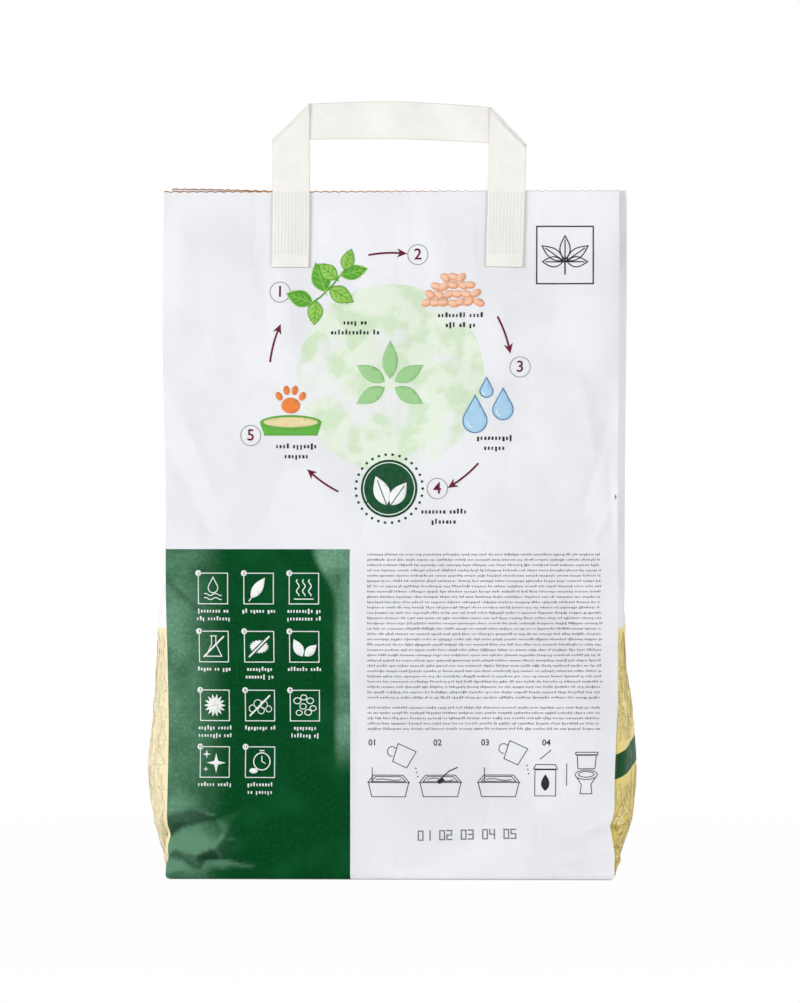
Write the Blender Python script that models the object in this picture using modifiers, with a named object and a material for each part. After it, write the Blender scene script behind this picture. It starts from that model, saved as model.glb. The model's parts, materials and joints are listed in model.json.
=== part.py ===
"""A filled and closed paper cat litter bag, standing upright on its flat block base.

X runs across the printed panel, Y from the printed (near) panel to the far one, Z up.
The origin is the middle of the base, on the surface that the bag stands on. All sizes
are in metres. The sack is one sheet of paper, folded, pasted and closed around its
filling, so it is one solid. The carry handle is one flat tape, folded over at its two
upper corners, with its two ends pasted to the outside of the near panel.
"""

import math

import bmesh
import bpy
from mathutils import Vector

# The sack, as a flat sheet of paper would be folded
PANEL_WIDTH = 0.2475
GUSSET_DEPTH = 0.0900
SACK_HEIGHT = 0.3716

# How the filling shapes it
SHOULDER_HEIGHT = 0.135     # below this the gussets are pushed out, above it they tuck in
TAPER_POWER = 2.6           # how long the panels stay apart above the shoulder
CLOSED_THICKNESS = 0.0022   # through both walls at the top edge
PANEL_BOW = 0.0060          # how far the middle of a panel stands out
PANEL_BOW_HEIGHT = 0.125    # where it stands out most
LEFT_SWELL = 0.0150         # how far the left gusset stands out past the side folds
LEFT_SWELL_HEIGHT = 0.062   # where it stands out most
LEFT_SWELL_END = 0.205      # where it no longer stands out
RIGHT_SWELL = 0.0135
RIGHT_SWELL_HEIGHT = 0.048
RIGHT_SWELL_END = 0.155
LEFT_INSET = 0.0042         # the filling draws the left side folds in by this much
RIGHT_INSET = 0.0010
INSET_HEIGHT = 0.190        # up to here in full
INSET_END = 0.330           # and no longer from here on
WAIST_INSET = 0.0014        # and both sides by this much more where the bag is fullest
WAIST_HEIGHT = 0.081
TUCK_START = 0.115          # from here the gussets begin to fold in
TUCK_END = 0.175            # and from here on they do so in full
FAR_PANEL_SHIFT = 0.0040    # higher up, the far panel sits this far to +X of the near one
SHIFT_START = 0.054
SHIFT_END = 0.162
BASE_EDGE_RADIUS = 0.0022
FOLD_THICKNESS = 0.0006     # two layers of paper along a side fold

# Dents in the near panel's side folds
LEFT_DENT_HEIGHT = 0.0228
LEFT_DENT_DEPTH = 0.0020
LEFT_DENT_REACH = 0.0120    # up and down from the middle of the dent
RIGHT_DENT_HEIGHT = 0.0265
RIGHT_DENT_DEPTH = 0.0024
RIGHT_DENT_REACH = 0.0140

# The crumpled lower corner of the near panel, at -X
CORNER_DENT_DEPTH = 0.0030
CORNER_DENT_X = -0.1050
CORNER_DENT_HEIGHT = 0.0200
CORNER_DENT_WIDTH = 0.0240  # to each side of its middle
CORNER_DENT_REACH = 0.0190  # up and down from its middle

# The top edge, cut by a toothed blade, with its lips a little apart at -X
TOOTH_PITCH = 0.0048
TOOTH_DEPTH = 0.0009
LIP_PARTING = 0.0012        # each lip, at the -X corner
LIP_PARTING_LENGTH = 0.052  # along X, from the corner
LIP_PARTING_DEPTH = 0.045   # down from the top edge
FAR_LIP_RISE = 0.0015       # the far lip stands above the near one at the -X corner

# The carry handle
TAPE_WIDTH = 0.0203
TAPE_THICKNESS = 0.0005
TAPE_FOLD_RADIUS = 0.0004   # to the middle of the tape
HANDLE_RISE = 0.0474        # from the sack's top edge to the handle's left corner
HANDLE_SPAN = 0.1160        # between the middles of the two legs
HANDLE_OFFSET = 0.0034      # the handle's middle, to +X of the panel's
HANDLE_LEAN = 0.0020        # the right leg leans out by this much
HANDLE_ARCH = 0.0021        # the top run's rise between its corners
RIGHT_CORNER_DROP = 0.0026
TAIL_LENGTH = 0.0420        # the pasted end below the sack's top edge
SEAT_GAP = 0.0003           # between the tape and the paper that it is pasted to

# How finely the surfaces are divided
SACK_ROWS = 40
PANEL_COLUMNS = 20
GUSSET_COLUMNS = 8
TAPE_COLUMNS = 4
LEG_ROWS = 12
FOLD_ROWS = 6
TOP_RUN_ROWS = 12

CUT_MARGIN = 0.004          # what the blade takes off above the top edge
BASE_EDGE_STEP = 0.3        # where the rounded base edge has its middle row, as a share of its height
DENT_SHARPNESS = 4          # how closely a dent keeps to its side fold


def smooth(low, high, value):
    """0 below low, 1 above high, and an even turn between them."""
    t = min(max((value - low) / (high - low), 0.0), 1.0)
    return t * t * (3.0 - 2.0 * t)


def hump(middle, reach, value):
    """1 at the middle, falling to 0 at the given reach on both sides."""
    return 1.0 - smooth(0.0, reach, abs(value - middle))


def panel_gap(z):
    """Distance between the near and the far panel at their side folds."""
    s = min(max((z - SHOULDER_HEIGHT) / (SACK_HEIGHT - SHOULDER_HEIGHT), 0.0), 1.0)
    return CLOSED_THICKNESS + (GUSSET_DEPTH - CLOSED_THICKNESS) * (1.0 - s ** TAPER_POWER) ** 2


def panel_bow(z):
    """How far the middle of a panel stands out at this height."""
    if z < PANEL_BOW_HEIGHT:
        return PANEL_BOW * smooth(0.0, PANEL_BOW_HEIGHT, z)
    return PANEL_BOW * (1.0 - smooth(PANEL_BOW_HEIGHT, SACK_HEIGHT, z))


def gusset_swell(side, z):
    """How far the middle of a gusset stands out past the side folds."""
    if side < 0:
        swell, height, end = LEFT_SWELL, LEFT_SWELL_HEIGHT, LEFT_SWELL_END
    else:
        swell, height, end = RIGHT_SWELL, RIGHT_SWELL_HEIGHT, RIGHT_SWELL_END
    if z < height:
        return swell * math.sin(0.5 * math.pi * z / height)
    return swell * (1.0 - smooth(height, end, z))


def far_panel_shift(z):
    """How far the far panel sits to +X of the near one."""
    return FAR_PANEL_SHIFT * smooth(SHIFT_START, SHIFT_END, z)


def gusset_tuck(z):
    """How far the middle fold of a gusset is tucked in, for its two halves to keep their width."""
    half = 0.5 * GUSSET_DEPTH
    across = min(0.5 * panel_gap(z), half)
    return math.sqrt(half * half - across * across) * smooth(TUCK_START, TUCK_END, z)


def side_fold_x(side, z):
    """Half the panel's width at this height, with the side folds drawn in by the filling."""
    inset = LEFT_INSET if side < 0 else RIGHT_INSET
    inset *= 1.0 - smooth(INSET_HEIGHT, INSET_END, z)
    inset += WAIST_INSET * hump(WAIST_HEIGHT, WAIST_HEIGHT, z)
    return 0.5 * PANEL_WIDTH - inset


def fold_dent(side, z):
    """How deep the near side fold is dented at this height."""
    if side < 0:
        return LEFT_DENT_DEPTH * hump(LEFT_DENT_HEIGHT, LEFT_DENT_REACH, z)
    return RIGHT_DENT_DEPTH * hump(RIGHT_DENT_HEIGHT, RIGHT_DENT_REACH, z)


def parting(x, z):
    """How far each lip stands from the other, near the -X end of the top edge."""
    along = 1.0 - smooth(0.0, LIP_PARTING_LENGTH, x + 0.5 * PANEL_WIDTH)
    return LIP_PARTING * along * smooth(SACK_HEIGHT - LIP_PARTING_DEPTH, SACK_HEIGHT, z)


def corner_dent(x, z):
    """How deep the near panel is pushed in at its crumpled lower corner."""
    across = hump(CORNER_DENT_X, CORNER_DENT_WIDTH, x)
    return CORNER_DENT_DEPTH * across * hump(CORNER_DENT_HEIGHT, CORNER_DENT_REACH, z)


def near_panel_y(x, z):
    """The near panel, and the far one as its mirror image, but for the near one's dents."""
    u = x / (0.5 * PANEL_WIDTH)
    return -0.5 * panel_gap(z) - panel_bow(z) * (1.0 - u * u) - parting(x, z)


def base_rounding(z):
    """How far the wall is drawn in where it turns under the base."""
    if z >= BASE_EDGE_RADIUS:
        return 0.0
    rise = BASE_EDGE_RADIUS - z
    return BASE_EDGE_RADIUS - math.sqrt(BASE_EDGE_RADIUS ** 2 - rise ** 2)


def panel_points(face, z):
    """The points across the near panel (face -1) or the far one (face +1), from -X to +X."""
    shift = 0.5 * (1 + face) * far_panel_shift(z)
    draw_in = base_rounding(z)
    points = []
    for i in range(PANEL_COLUMNS + 1):
        u = -1.0 + 2.0 * i / PANEL_COLUMNS
        side = math.copysign(1.0, u)
        dent = fold_dent(side, z) * u ** DENT_SHARPNESS if face < 0 else 0.0
        x = u * (side_fold_x(side, z) - draw_in - dent)
        y = near_panel_y(x, z) + draw_in
        if face < 0:
            y += corner_dent(x, z)
        points.append(Vector((x + shift, -face * y, z)))
    return points


def gusset_points(side, z):
    """The points across a gusset, from its near side fold to its far one."""
    half_gap = 0.5 * panel_gap(z) + parting(side * 0.5 * PANEL_WIDTH, z) - FOLD_THICKNESS
    draw_in = base_rounding(z)
    fold_x = side_fold_x(side, z) - draw_in
    shift = far_panel_shift(z)
    points = []
    for i in range(GUSSET_COLUMNS + 1):
        t = -1.0 + 2.0 * i / GUSSET_COLUMNS
        out = gusset_swell(side, z) * (1.0 - t * t) - gusset_tuck(z) * (1.0 - abs(t))
        out -= fold_dent(side, z) * max(-t, 0.0)
        x = side * (fold_x + out) + 0.5 * (1.0 + t) * shift
        points.append(Vector((x, t * (half_gap - draw_in), z)))
    return points


def sack_section(z):
    """The closed outline of the sack at this height, counter-clockwise seen from above."""
    return (panel_points(-1, z) + gusset_points(1, z)
            + panel_points(1, z)[::-1] + gusset_points(-1, z)[::-1])


def sack_heights():
    """The heights of the sections: the rounded base edge, even rows, then the blade's waste."""
    heights = [0.0, BASE_EDGE_STEP * BASE_EDGE_RADIUS, BASE_EDGE_RADIUS]
    step = (SACK_HEIGHT - BASE_EDGE_RADIUS) / SACK_ROWS
    heights += [BASE_EDGE_RADIUS + step * (i + 1) for i in range(SACK_ROWS)]
    return heights + [SACK_HEIGHT + FAR_LIP_RISE + CUT_MARGIN]


def new_material(name, color, roughness):
    """A plain, non-metallic finish."""
    material = bpy.data.materials.new(name)
    material.use_nodes = True
    shader = material.node_tree.nodes["Principled BSDF"]
    shader.inputs["Base Color"].default_value = (*color, 1.0)
    shader.inputs["Roughness"].default_value = roughness
    shader.inputs["Metallic"].default_value = 0.0
    return material


def add_object(name, bm, collection, material=None):
    """Turn a bmesh into a named object of the given collection."""
    mesh = bpy.data.meshes.new(name)
    bm.to_mesh(mesh)
    bm.free()
    part = bpy.data.objects.new(name, mesh)
    if material:
        mesh.materials.append(material)
    collection.objects.link(part)
    return part


def add_blade(collection):
    """The cutter that shapes the toothed top edge: all above the edge, over both lips."""
    half_pitch = 0.5 * TOOTH_PITCH
    overhang = 3.0 * TOOTH_PITCH
    steps = 2 * math.ceil((0.5 * PANEL_WIDTH + overhang) / half_pitch)
    reach = GUSSET_DEPTH
    seam = 0.5 * FOLD_THICKNESS
    bm = bmesh.new()
    rows = (-reach, -seam, seam, reach)
    bmesh.ops.create_grid(bm, x_segments=steps, y_segments=len(rows) - 1, size=1.0)
    for vert in bm.verts:
        column = round(0.5 * (vert.co.x + 1.0) * steps)
        row = round(0.5 * (vert.co.y + 1.0) * (len(rows) - 1))
        x = (column - steps // 2) * half_pitch
        z = SACK_HEIGHT + TOOTH_DEPTH * (column % 2 - 1)
        if rows[row] > 0.0:
            z += FAR_LIP_RISE * (1.0 - smooth(0.0, LIP_PARTING_LENGTH, x + 0.5 * PANEL_WIDTH))
        vert.co = Vector((x, rows[row], z))
    lifted = bmesh.ops.extrude_face_region(bm, geom=bm.faces[:])
    top = [item for item in lifted["geom"] if isinstance(item, bmesh.types.BMVert)]
    for vert in top:
        vert.co.z = SACK_HEIGHT + FAR_LIP_RISE + 2.0 * CUT_MARGIN
    bmesh.ops.recalc_face_normals(bm, faces=bm.faces[:])
    blade = add_object("top_edge_blade", bm, collection)
    blade.hide_render = True
    blade.display_type = "WIRE"
    return blade


def add_sack(collection, blade):
    """The filled sack: a loft from its flat rectangular base to its closed, flat top."""
    bm = bmesh.new()
    rings = [[bm.verts.new(point) for point in sack_section(z)] for z in sack_heights()]
    for lower, upper in zip(rings, rings[1:]):
        count = len(lower)
        for i in range(count):
            j = (i + 1) % count
            bm.faces.new((lower[i], lower[j], upper[j], upper[i]))
    bm.faces.new(rings[0][::-1])
    bm.faces.new(rings[-1])
    white_paper = new_material("white_coated_paper", (0.80, 0.81, 0.83), 0.42)
    sack = add_object("paper_sack", bm, collection, white_paper)
    cut = sack.modifiers.new("top_edge_cut", "BOOLEAN")
    cut.operation = "DIFFERENCE"
    cut.solver = "EXACT"
    cut.object = blade
    return sack


def tape_y(x, z, layer):
    """The middle of the tape: layer 0 lies on the near panel, layer 1 is folded over behind it."""
    seat = near_panel_y(x, min(z, SACK_HEIGHT)) - SEAT_GAP - 0.5 * TAPE_THICKNESS
    return seat + 2.0 * TAPE_FOLD_RADIUS * layer


def crease_points(corner, before, after, side, offsets):
    """Where the lines along the tape meet its crease at a corner, in the panel's plane.

    A strip turned over along a crease leaves in the direction that the crease mirrors it to.
    Returns the points, the direction away from the handle's inside, and the tape's new side."""
    crease = (before + after).normalized()
    out = Vector((crease.y, -crease.x))
    if out.dot(before) < 0.0:
        out = -out
    points = [corner + crease * (q / crease.dot(side)) for q in offsets]
    return points, out, 2.0 * crease.dot(side) * crease - side


def straight_rows(first, last, count, layer, arch=0.0):
    """Rows between two lines across the tape, the first and last lines left out."""
    rows = []
    for i in range(1, count):
        share = i / count
        rise = arch * math.sin(math.pi * share)
        row = [a.lerp(b, share) for a, b in zip(first, last)]
        rows.append([Vector((p.x, tape_y(p.x, p.y, layer), p.y + rise)) for p in row])
    return rows


def fold_rows(points, out, first_layer):
    """Rows round a crease, from one layer of the tape to the other."""
    rows = []
    for i in range(FOLD_ROWS + 1):
        angle = math.pi * i / FOLD_ROWS
        turned = 0.5 - 0.5 * math.cos(angle)
        layer = abs(first_layer - turned)
        row = [p + out * TAPE_FOLD_RADIUS * math.sin(angle) for p in points]
        rows.append([Vector((p.x, tape_y(p.x, p.y, layer), p.y)) for p in row])
    return rows


def tape_rows():
    """The lines across the tape, from the end of its left tail to the end of its right one."""
    left_x = HANDLE_OFFSET - 0.5 * HANDLE_SPAN
    right_x = HANDLE_OFFSET + 0.5 * HANDLE_SPAN
    foot_z = SACK_HEIGHT - TAIL_LENGTH
    corner_z = SACK_HEIGHT + HANDLE_RISE - 0.5 * TAPE_WIDTH
    left_foot = Vector((left_x, foot_z))
    left_corner = Vector((left_x, corner_z))
    right_corner = Vector((right_x + HANDLE_LEAN, corner_z - RIGHT_CORNER_DROP))
    right_foot = Vector((right_x, foot_z))
    up = (left_corner - left_foot).normalized()
    across = (right_corner - left_corner).normalized()
    down = (right_foot - right_corner).normalized()

    offsets = [TAPE_WIDTH * (j / TAPE_COLUMNS - 0.5) for j in range(TAPE_COLUMNS + 1)]
    side = Vector((up.y, -up.x))
    foot = [left_foot + side * q for q in offsets]
    left_crease, left_out, side = crease_points(left_corner, up, across, side, offsets)
    right_crease, right_out, side = crease_points(right_corner, across, down, side, offsets)
    end = [right_foot + side * q for q in offsets]

    rows = [[Vector((p.x, tape_y(p.x, p.y, 0.0), p.y)) for p in foot]]
    rows += straight_rows(foot, left_crease, LEG_ROWS, 0.0)
    rows += fold_rows(left_crease, left_out, 0.0)
    rows += straight_rows(left_crease, right_crease, TOP_RUN_ROWS, 1.0, HANDLE_ARCH)
    rows += fold_rows(right_crease, right_out, 1.0)
    rows += straight_rows(right_crease, end, LEG_ROWS, 0.0)
    rows.append([Vector((p.x, tape_y(p.x, p.y, 0.0), p.y)) for p in end])
    return rows


def add_handle(collection):
    """One flat tape: a plain strip, laid along its folded path and given its thickness."""
    rows = tape_rows()
    bm = bmesh.new()
    bmesh.ops.create_grid(bm, x_segments=TAPE_COLUMNS, y_segments=len(rows) - 1, size=1.0)
    for vert in bm.verts:
        column = round(0.5 * (vert.co.x + 1.0) * TAPE_COLUMNS)
        row = round(0.5 * (vert.co.y + 1.0) * (len(rows) - 1))
        vert.co = rows[row][column]
    warm_paper = new_material("warm_white_tape", (0.86, 0.84, 0.80), 0.5)
    handle = add_object("carry_handle", bm, collection, warm_paper)
    wall = handle.modifiers.new("tape_thickness", "SOLIDIFY")
    wall.thickness = TAPE_THICKNESS
    wall.offset = 0.0
    wall.use_even_offset = True
    return handle


def main():
    for item in list(bpy.data.objects):
        bpy.data.objects.remove(item, do_unlink=True)
    parts = bpy.data.collections.new("cat_litter_bag")
    cutters = bpy.data.collections.new("cutters")
    for collection in (parts, cutters):
        bpy.context.scene.collection.children.link(collection)
    add_sack(parts, add_blade(cutters))
    add_handle(parts)


main()
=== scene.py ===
"""A filled paper cat litter bag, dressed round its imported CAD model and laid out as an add-on.

The sack is one printed sheet of clay-coated kraft paper, wrapped, folded and closed around its
filling. SackForm says where each place on that flat sheet is, so that the paper, its creases
and the ink on it all follow one surface. Sizes are in metres, and the artwork is drawn on the
flat sheet in millimetres, with s across the near panel from its middle and z upwards.
"""

import json
import math
import random
from functools import partial, reduce

import bmesh
import bpy
from bpy.props import FloatProperty, FloatVectorProperty, PointerProperty
from mathutils import Matrix, Vector, geometry, noise
from mathutils.bvhtree import BVHTree

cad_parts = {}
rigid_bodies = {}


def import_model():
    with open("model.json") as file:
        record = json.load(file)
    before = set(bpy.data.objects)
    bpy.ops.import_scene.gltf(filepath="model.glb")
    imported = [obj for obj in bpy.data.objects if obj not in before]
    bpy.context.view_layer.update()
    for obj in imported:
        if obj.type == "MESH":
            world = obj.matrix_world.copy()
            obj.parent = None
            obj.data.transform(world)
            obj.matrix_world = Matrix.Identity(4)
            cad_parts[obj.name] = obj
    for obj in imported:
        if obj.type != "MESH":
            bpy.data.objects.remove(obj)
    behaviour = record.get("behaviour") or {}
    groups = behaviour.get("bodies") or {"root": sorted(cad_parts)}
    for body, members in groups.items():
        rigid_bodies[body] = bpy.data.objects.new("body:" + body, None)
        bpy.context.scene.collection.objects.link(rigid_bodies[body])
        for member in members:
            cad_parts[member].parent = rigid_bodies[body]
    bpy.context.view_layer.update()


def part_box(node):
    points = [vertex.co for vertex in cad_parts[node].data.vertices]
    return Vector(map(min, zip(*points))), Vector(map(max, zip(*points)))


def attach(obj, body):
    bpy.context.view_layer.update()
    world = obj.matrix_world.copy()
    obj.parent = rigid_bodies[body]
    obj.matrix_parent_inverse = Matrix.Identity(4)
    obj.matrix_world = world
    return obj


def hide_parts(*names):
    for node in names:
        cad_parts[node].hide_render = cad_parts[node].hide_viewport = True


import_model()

bl_info = {
    "name": "Paper Litter Bag",
    "version": (1, 0, 0),
    "blender": (4, 5, 0),
    "location": "3D Viewport > Sidebar > Litter Bag",
    "description": "Builds a filled paper cat litter bag with its tape handle and its print",
    "category": "Object",
}

MM = 0.001
SACK_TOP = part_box("paper_sack")[1]

# How the filling shapes the sack, as in its solid
SHOULDER_HEIGHT = 0.135
TAPER_POWER = 2.6
CLOSED_THICKNESS = 0.0022
PANEL_BOW_HEIGHT = 0.125
LEFT_SWELL_HEIGHT, LEFT_SWELL_END = 0.062, 0.205
RIGHT_SWELL_HEIGHT, RIGHT_SWELL_END = 0.048, 0.155
LEFT_INSET, RIGHT_INSET = 0.0042, 0.0010
INSET_HEIGHT, INSET_END = 0.190, 0.330
WAIST_INSET, WAIST_HEIGHT = 0.0014, 0.081
RIGHT_WAIST_INSET, RIGHT_WAIST_HEIGHT, RIGHT_WAIST_REACH = 0.0017, 0.045, 0.060
RIGHT_FOOT_INSET, RIGHT_FOOT_REACH = 0.0014, 0.030
TUCK_START, TUCK_END = 0.115, 0.175
FAR_PANEL_SHIFT, SHIFT_START, SHIFT_END = 0.0040, 0.054, 0.162
BASE_EDGE_RADIUS = 0.0022
FOLD_THICKNESS = 0.0006
DENT_SHARPNESS = 4

# Notches in the near side folds: height, depth and reach
LEFT_NOTCHES = ((0.0235, 0.0011, 0.0060), (0.0115, 0.0008, 0.0040), (0.0195, 0.0005, 0.0160))
RIGHT_NOTCHES = ((0.0265, 0.0019, 0.0140), (0.0290, 0.0009, 0.0040))

# The near panel rolls back beside its side folds
LEFT_ROLL, RIGHT_ROLL = 0.0030, 0.0014
LEFT_ROLL_WIDTH, RIGHT_ROLL_WIDTH = 0.0240, 0.0160
ROLL_START, ROLL_END, ROLL_FOOT = 0.230, 0.130, 0.030
FOLD_FOLLOW = 0.30          # how far round a gusset the paper follows a pushed-in side fold

# The top edge, cut by a toothed blade
TOOTH_PITCH = 0.0048
TOOTH_DEPTH = 0.0006
TOOTHED_BAND = 0.0050       # the rows that follow the teeth
LIP_PARTING, LIP_PARTING_LENGTH, LIP_PARTING_DEPTH = 0.0012, 0.052, 0.045
FAR_LIP_RISE, FAR_LIP_LENGTH = 0.0017, 0.085
PAPER_THICKNESS = 0.0002
LIP_POCKET_DEPTH = 0.0070   # how far one can see down between the lips
LIP_CORNER, LIP_MIDDLE = 0.98, 0.05     # where the inner lips turn, as shares of half a zone
PASTE_DROP = 0.0012         # the lips are pasted together this far below the cut
TORN_BAND_LEFT, TORN_BAND_RIGHT = 0.00055, 0.00018
TORN_FADE_START, TORN_FADE_END = -0.030, 0.060

# The crumpled lower left corner: places on the near panel and how far each is pushed in, in mm
CRUMPLE_POINTS = {
    "upper_edge": (-123.8, 50.0, 0.0), "upper": (-101.0, 52.0, 0.0), "upper_right": (-76.0, 40.0, 0.0),
    "right": (-70.0, 24.0, 0.0), "lower_right": (-72.0, 7.5, 0.0), "base_right": (-80.0, 0.0, 0.0),
    "base": (-103.0, 0.0, 0.0), "corner": (-123.8, 0.0, 0.2),
    "shelf_edge": (-123.8, 34.0, 0.2), "shelf": (-110.0, 38.0, -0.2),
    "pinch": (-123.8, 23.6, 4.6), "valley_1": (-115.0, 28.6, 3.1), "valley_2": (-106.5, 30.8, 2.7),
    "valley_3": (-96.0, 33.2, 0.8), "peak": (-88.5, 29.0, -0.1), "ridge_1": (-92.8, 22.4, -1.0),
    "ridge_2": (-97.0, 16.6, -1.3), "ridge_3": (-104.5, 13.9, -1.2), "ridge_4": (-113.0, 14.4, -0.7),
    "ridge_edge": (-120.5, 16.6, 0.3), "under_1": (-84.5, 21.0, 0.5), "under_2": (-92.5, 11.6, 1.0),
    "under_3": (-103.0, 11.2, 1.4), "thin": (-114.1, 11.2, 0.9), "pinch_2": (-123.8, 12.6, 3.2),
    "between": (-108.6, 10.6, -0.2), "foot_1": (-105.3, 5.6, 0.7), "foot_2": (-92.0, 6.6, -0.1),
    "foot_edge": (-123.4, 3.2, -0.2), "foot_3": (-115.5, 5.4, -0.7),
}
CRUMPLE_STRENGTH = 1.8
ABOVE_CAGE = 50.0           # rays that look for the crumpled facets start this high over them
CRUMPLE_FOLDS = (
    ("pinch", "valley_1"), ("valley_1", "valley_2"), ("valley_2", "valley_3"), ("valley_3", "peak"),
    ("peak", "ridge_1"), ("ridge_1", "ridge_2"), ("ridge_2", "ridge_3"), ("ridge_3", "ridge_4"),
    ("ridge_4", "ridge_edge"), ("under_2", "under_3"), ("pinch_2", "thin"), ("thin", "foot_1"),
    ("foot_3", "foot_1"), ("foot_1", "foot_2"), ("foot_2", "lower_right"),
)

# Creases as s, z to s, z, then height out of the paper and reach to each side, all in mm
CREASE_STRENGTH = 2.2
NEAR_CREASES = (
    (-123, 167, -108, 173, 0.35, 5), (-123, 160, -106, 145, -0.42, 4), (-122, 154, -110, 134, 0.35, 5),
    (-120, 262, -98, 212, 0.50, 11), (-124, 236, -100, 188, -0.45, 9), (-112, 205, -88, 196, 0.35, 8),
    (104, 266, 112, 226, 0.40, 10), (118, 244, 106, 200, -0.35, 8), (60, 345, 78, 300, 0.20, 12),
    (-30, 120, -27, 172, -0.50, 12), (-40, 176, -22, 168, 0.30, 10), (20, 362, 30, 300, 0.25, 16),
    (-118, 112, -112, 66, 0.40, 9), (-124, 84, -108, 60, -0.35, 7), (96, 22, 120, 30, 0.35, 8),
    (86, 8, 118, 14, 0.25, 7), (-66, 60, -50, 20, 0.30, 18), (0, 16, 60, 9, 0.25, 10),
    (-60, 330, -52, 286, 0.22, 12), (118, 34, 107, 44, -0.30, 6), (-118, 98, -104, 92, -0.25, 6),
    (123, 268, 84, 259, 0.35, 7), (122, 231, 96, 246, -0.30, 7), (119, 222, 121, 186, -0.35, 4),
    (122, 202, 112, 183, 0.30, 5), (76, 235, 92, 201, -0.25, 9), (-122, 208, -104, 196, -0.30, 6),
    (-70, 330, -66, 292, -0.22, 8), (2, 350, 6, 318, -0.20, 9), (44, 352, 47, 306, 0.22, 8),
)
# On a gusset: distance from its near side fold and height
GUSSET_CREASES = (
    (0, 0, 45, 45, -0.55, 5), (90, 0, 45, 45, -0.55, 5), (45, 45, 45, 148, 0.35, 5),
    (0, 116, 36, 161, 0.80, 8), (90, 116, 54, 161, 0.80, 8), (4, 92, 38, 104, -0.40, 9),
    (52, 88, 86, 76, -0.40, 9), (12, 66, 40, 60, 0.35, 9), (50, 30, 84, 38, 0.45, 8),
)
RIGHT_GUSSET_CREASES = (
    (0, 29, 26, 22, -2.80, 5), (0, 24, 22, 34, 1.60, 5), (2, 18, 30, 17, -2.40, 5),
    (0, 14, 24, 9, 1.60, 5), (12, 13, 20, 21, -4.50, 4), (0, 36, 20, 44, -1.20, 6),
)
LEFT_GUSSET_CREASES = (
    (0, 24, 20, 30, 0.90, 6), (0, 18, 24, 14, -0.90, 6), (4, 40, 30, 52, -0.50, 9),
)
CREASE_FOOT = 0.006         # creases and dents fade in over this height
GUSSET_CREASES_FULL, GUSSET_CREASES_GONE = 0.150, 0.200

# Waves of the filled paper: width, height and depth of each kind, and its place in the noise
PUCKER_WIDTH, PUCKER_HEIGHT, PUCKER_DEPTH, PUCKER_PLACE = 0.040, 0.075, 0.00095, 7.3
RUMPLE_SIZE, RUMPLE_DEPTH, RUMPLE_PLACE = 0.014, 0.00016, 2.1
FACET_WIDTH, FACET_HEIGHT, FACET_DEPTH, FACET_PLACE = 0.050, 0.072, 0.0044, 5.6
PLEAT_WIDTH, PLEAT_HEIGHT, PLEAT_DEPTH, PLEAT_PLACE = 0.016, 0.160, 0.00105, 4.4
PLEAT_START, PLEAT_END = 0.200, 0.300
WAVE_FOOT, WAVE_TOP = 0.020, 0.030      # they fade out towards the base and the top edge

# The middle folds of the tucked gussets, which show through the panel near the top edge
SHOW_THROUGH_X, SHOW_THROUGH_SHIFT, SHOW_THROUGH_STEP = 0.0775, 0.0025, 0.00030
SHOW_THROUGH_START, SHOW_THROUGH_END, SHOW_THROUGH_SOFTNESS = 0.300, 0.345, 0.001

# How finely the wrap is divided
NEAR_COLUMNS, GUSSET_COLUMNS, FAR_COLUMNS = 206, 48, 103
ROW_STEPS = ((0.050, 0.0013), (0.190, 0.0018), (0.366, 0.0030))     # up to a height, and how far apart
BASE_EDGE_STEP = 0.3        # where the rounded base edge has its middle row
LAST_ROW_SHARES = (0.3, 0.55, 0.8, 1.0)
SHARP_FOLD = math.radians(42.0)

# The carry handle
TAPE_THICKNESS = 0.0005
TAPE_FOLD_RADIUS = 0.0004
HANDLE_OFFSET = 0.0034
HANDLE_LEAN = 0.0020
HANDLE_ARCH = 0.0021
RIGHT_CORNER_DROP = 0.0026
TAIL_LENGTH = 0.0420
SEAT_GAP = 0.0003
TAPE_COLUMNS, TAIL_ROWS, LEG_ROWS, FOLD_ROWS, TOP_RUN_ROWS = 44, 76, 16, 8, 36
RIB_PITCH, RIB_DOT_PITCH, RIB_HEIGHT = 0.00185, 0.00125, 0.00026
RIB_START, RIB_END = 0.0070, 0.0415     # the ribs lie between a smooth end tab and the top edge
RIB_FADE_START, RIB_FADE_END = 0.0405, 0.0417       # along the tape
RIB_SIDE_START, RIB_SIDE_END = 0.0088, 0.0095       # from its middle line
TOP_RUN_START = 0.1         # where the top run's place along the tape starts, past the ribs
RIB_TAPER, RIBS_HALF = 0.0012, 0.0092
SLIT_EDGE = 0.00985         # from the tape's middle to where its slit edge shows
TOP_RUN_WAVE, TOP_RUN_WAVES = 0.0012, 2.6

# Print fields on the flat sheet, in mm
GREEN_BLOCK = (-124.5, -21.1, -1.0, 177.1)      # left, right, bottom and top
DISC_CENTRE, DISC_RADIUS, DISC_RIM = (0.3, 269.5), 51.0, 0.4
FOLIAGE_TOP, LOW_OLIVE_TOP = 134.8, 90.0
BAND_HEIGHT, BAND_RISE, BAND_HALF = 60.5, 0.20, 6.7
FOLD_EDGE = 0.0001          # the print changes just past the side fold, in metres

# Where a pale sheen is painted on the green ink, in mm, and how strongly
FOLD_SHEEN_REACH, FOLD_SHEEN = (-123.5, -88.0), 0.72
EDGE_SHEEN_WIDTHS, EDGE_SHEEN_FLARE, EDGE_SHEEN_FOOT = (6.8, 19.0), (148.0, 178.0), (56.0, 80.0)
EDGE_SHEEN_SOFTNESS, EDGE_SHEEN = (-3.5, 1.5), 0.88
CORNER_SHEEN_SPOT, CORNER_SHEEN_REACH, CORNER_SHEEN = (-112.0, 21.0, 1.5, 1.0), (6.0, 21.0), 0.34

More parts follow.
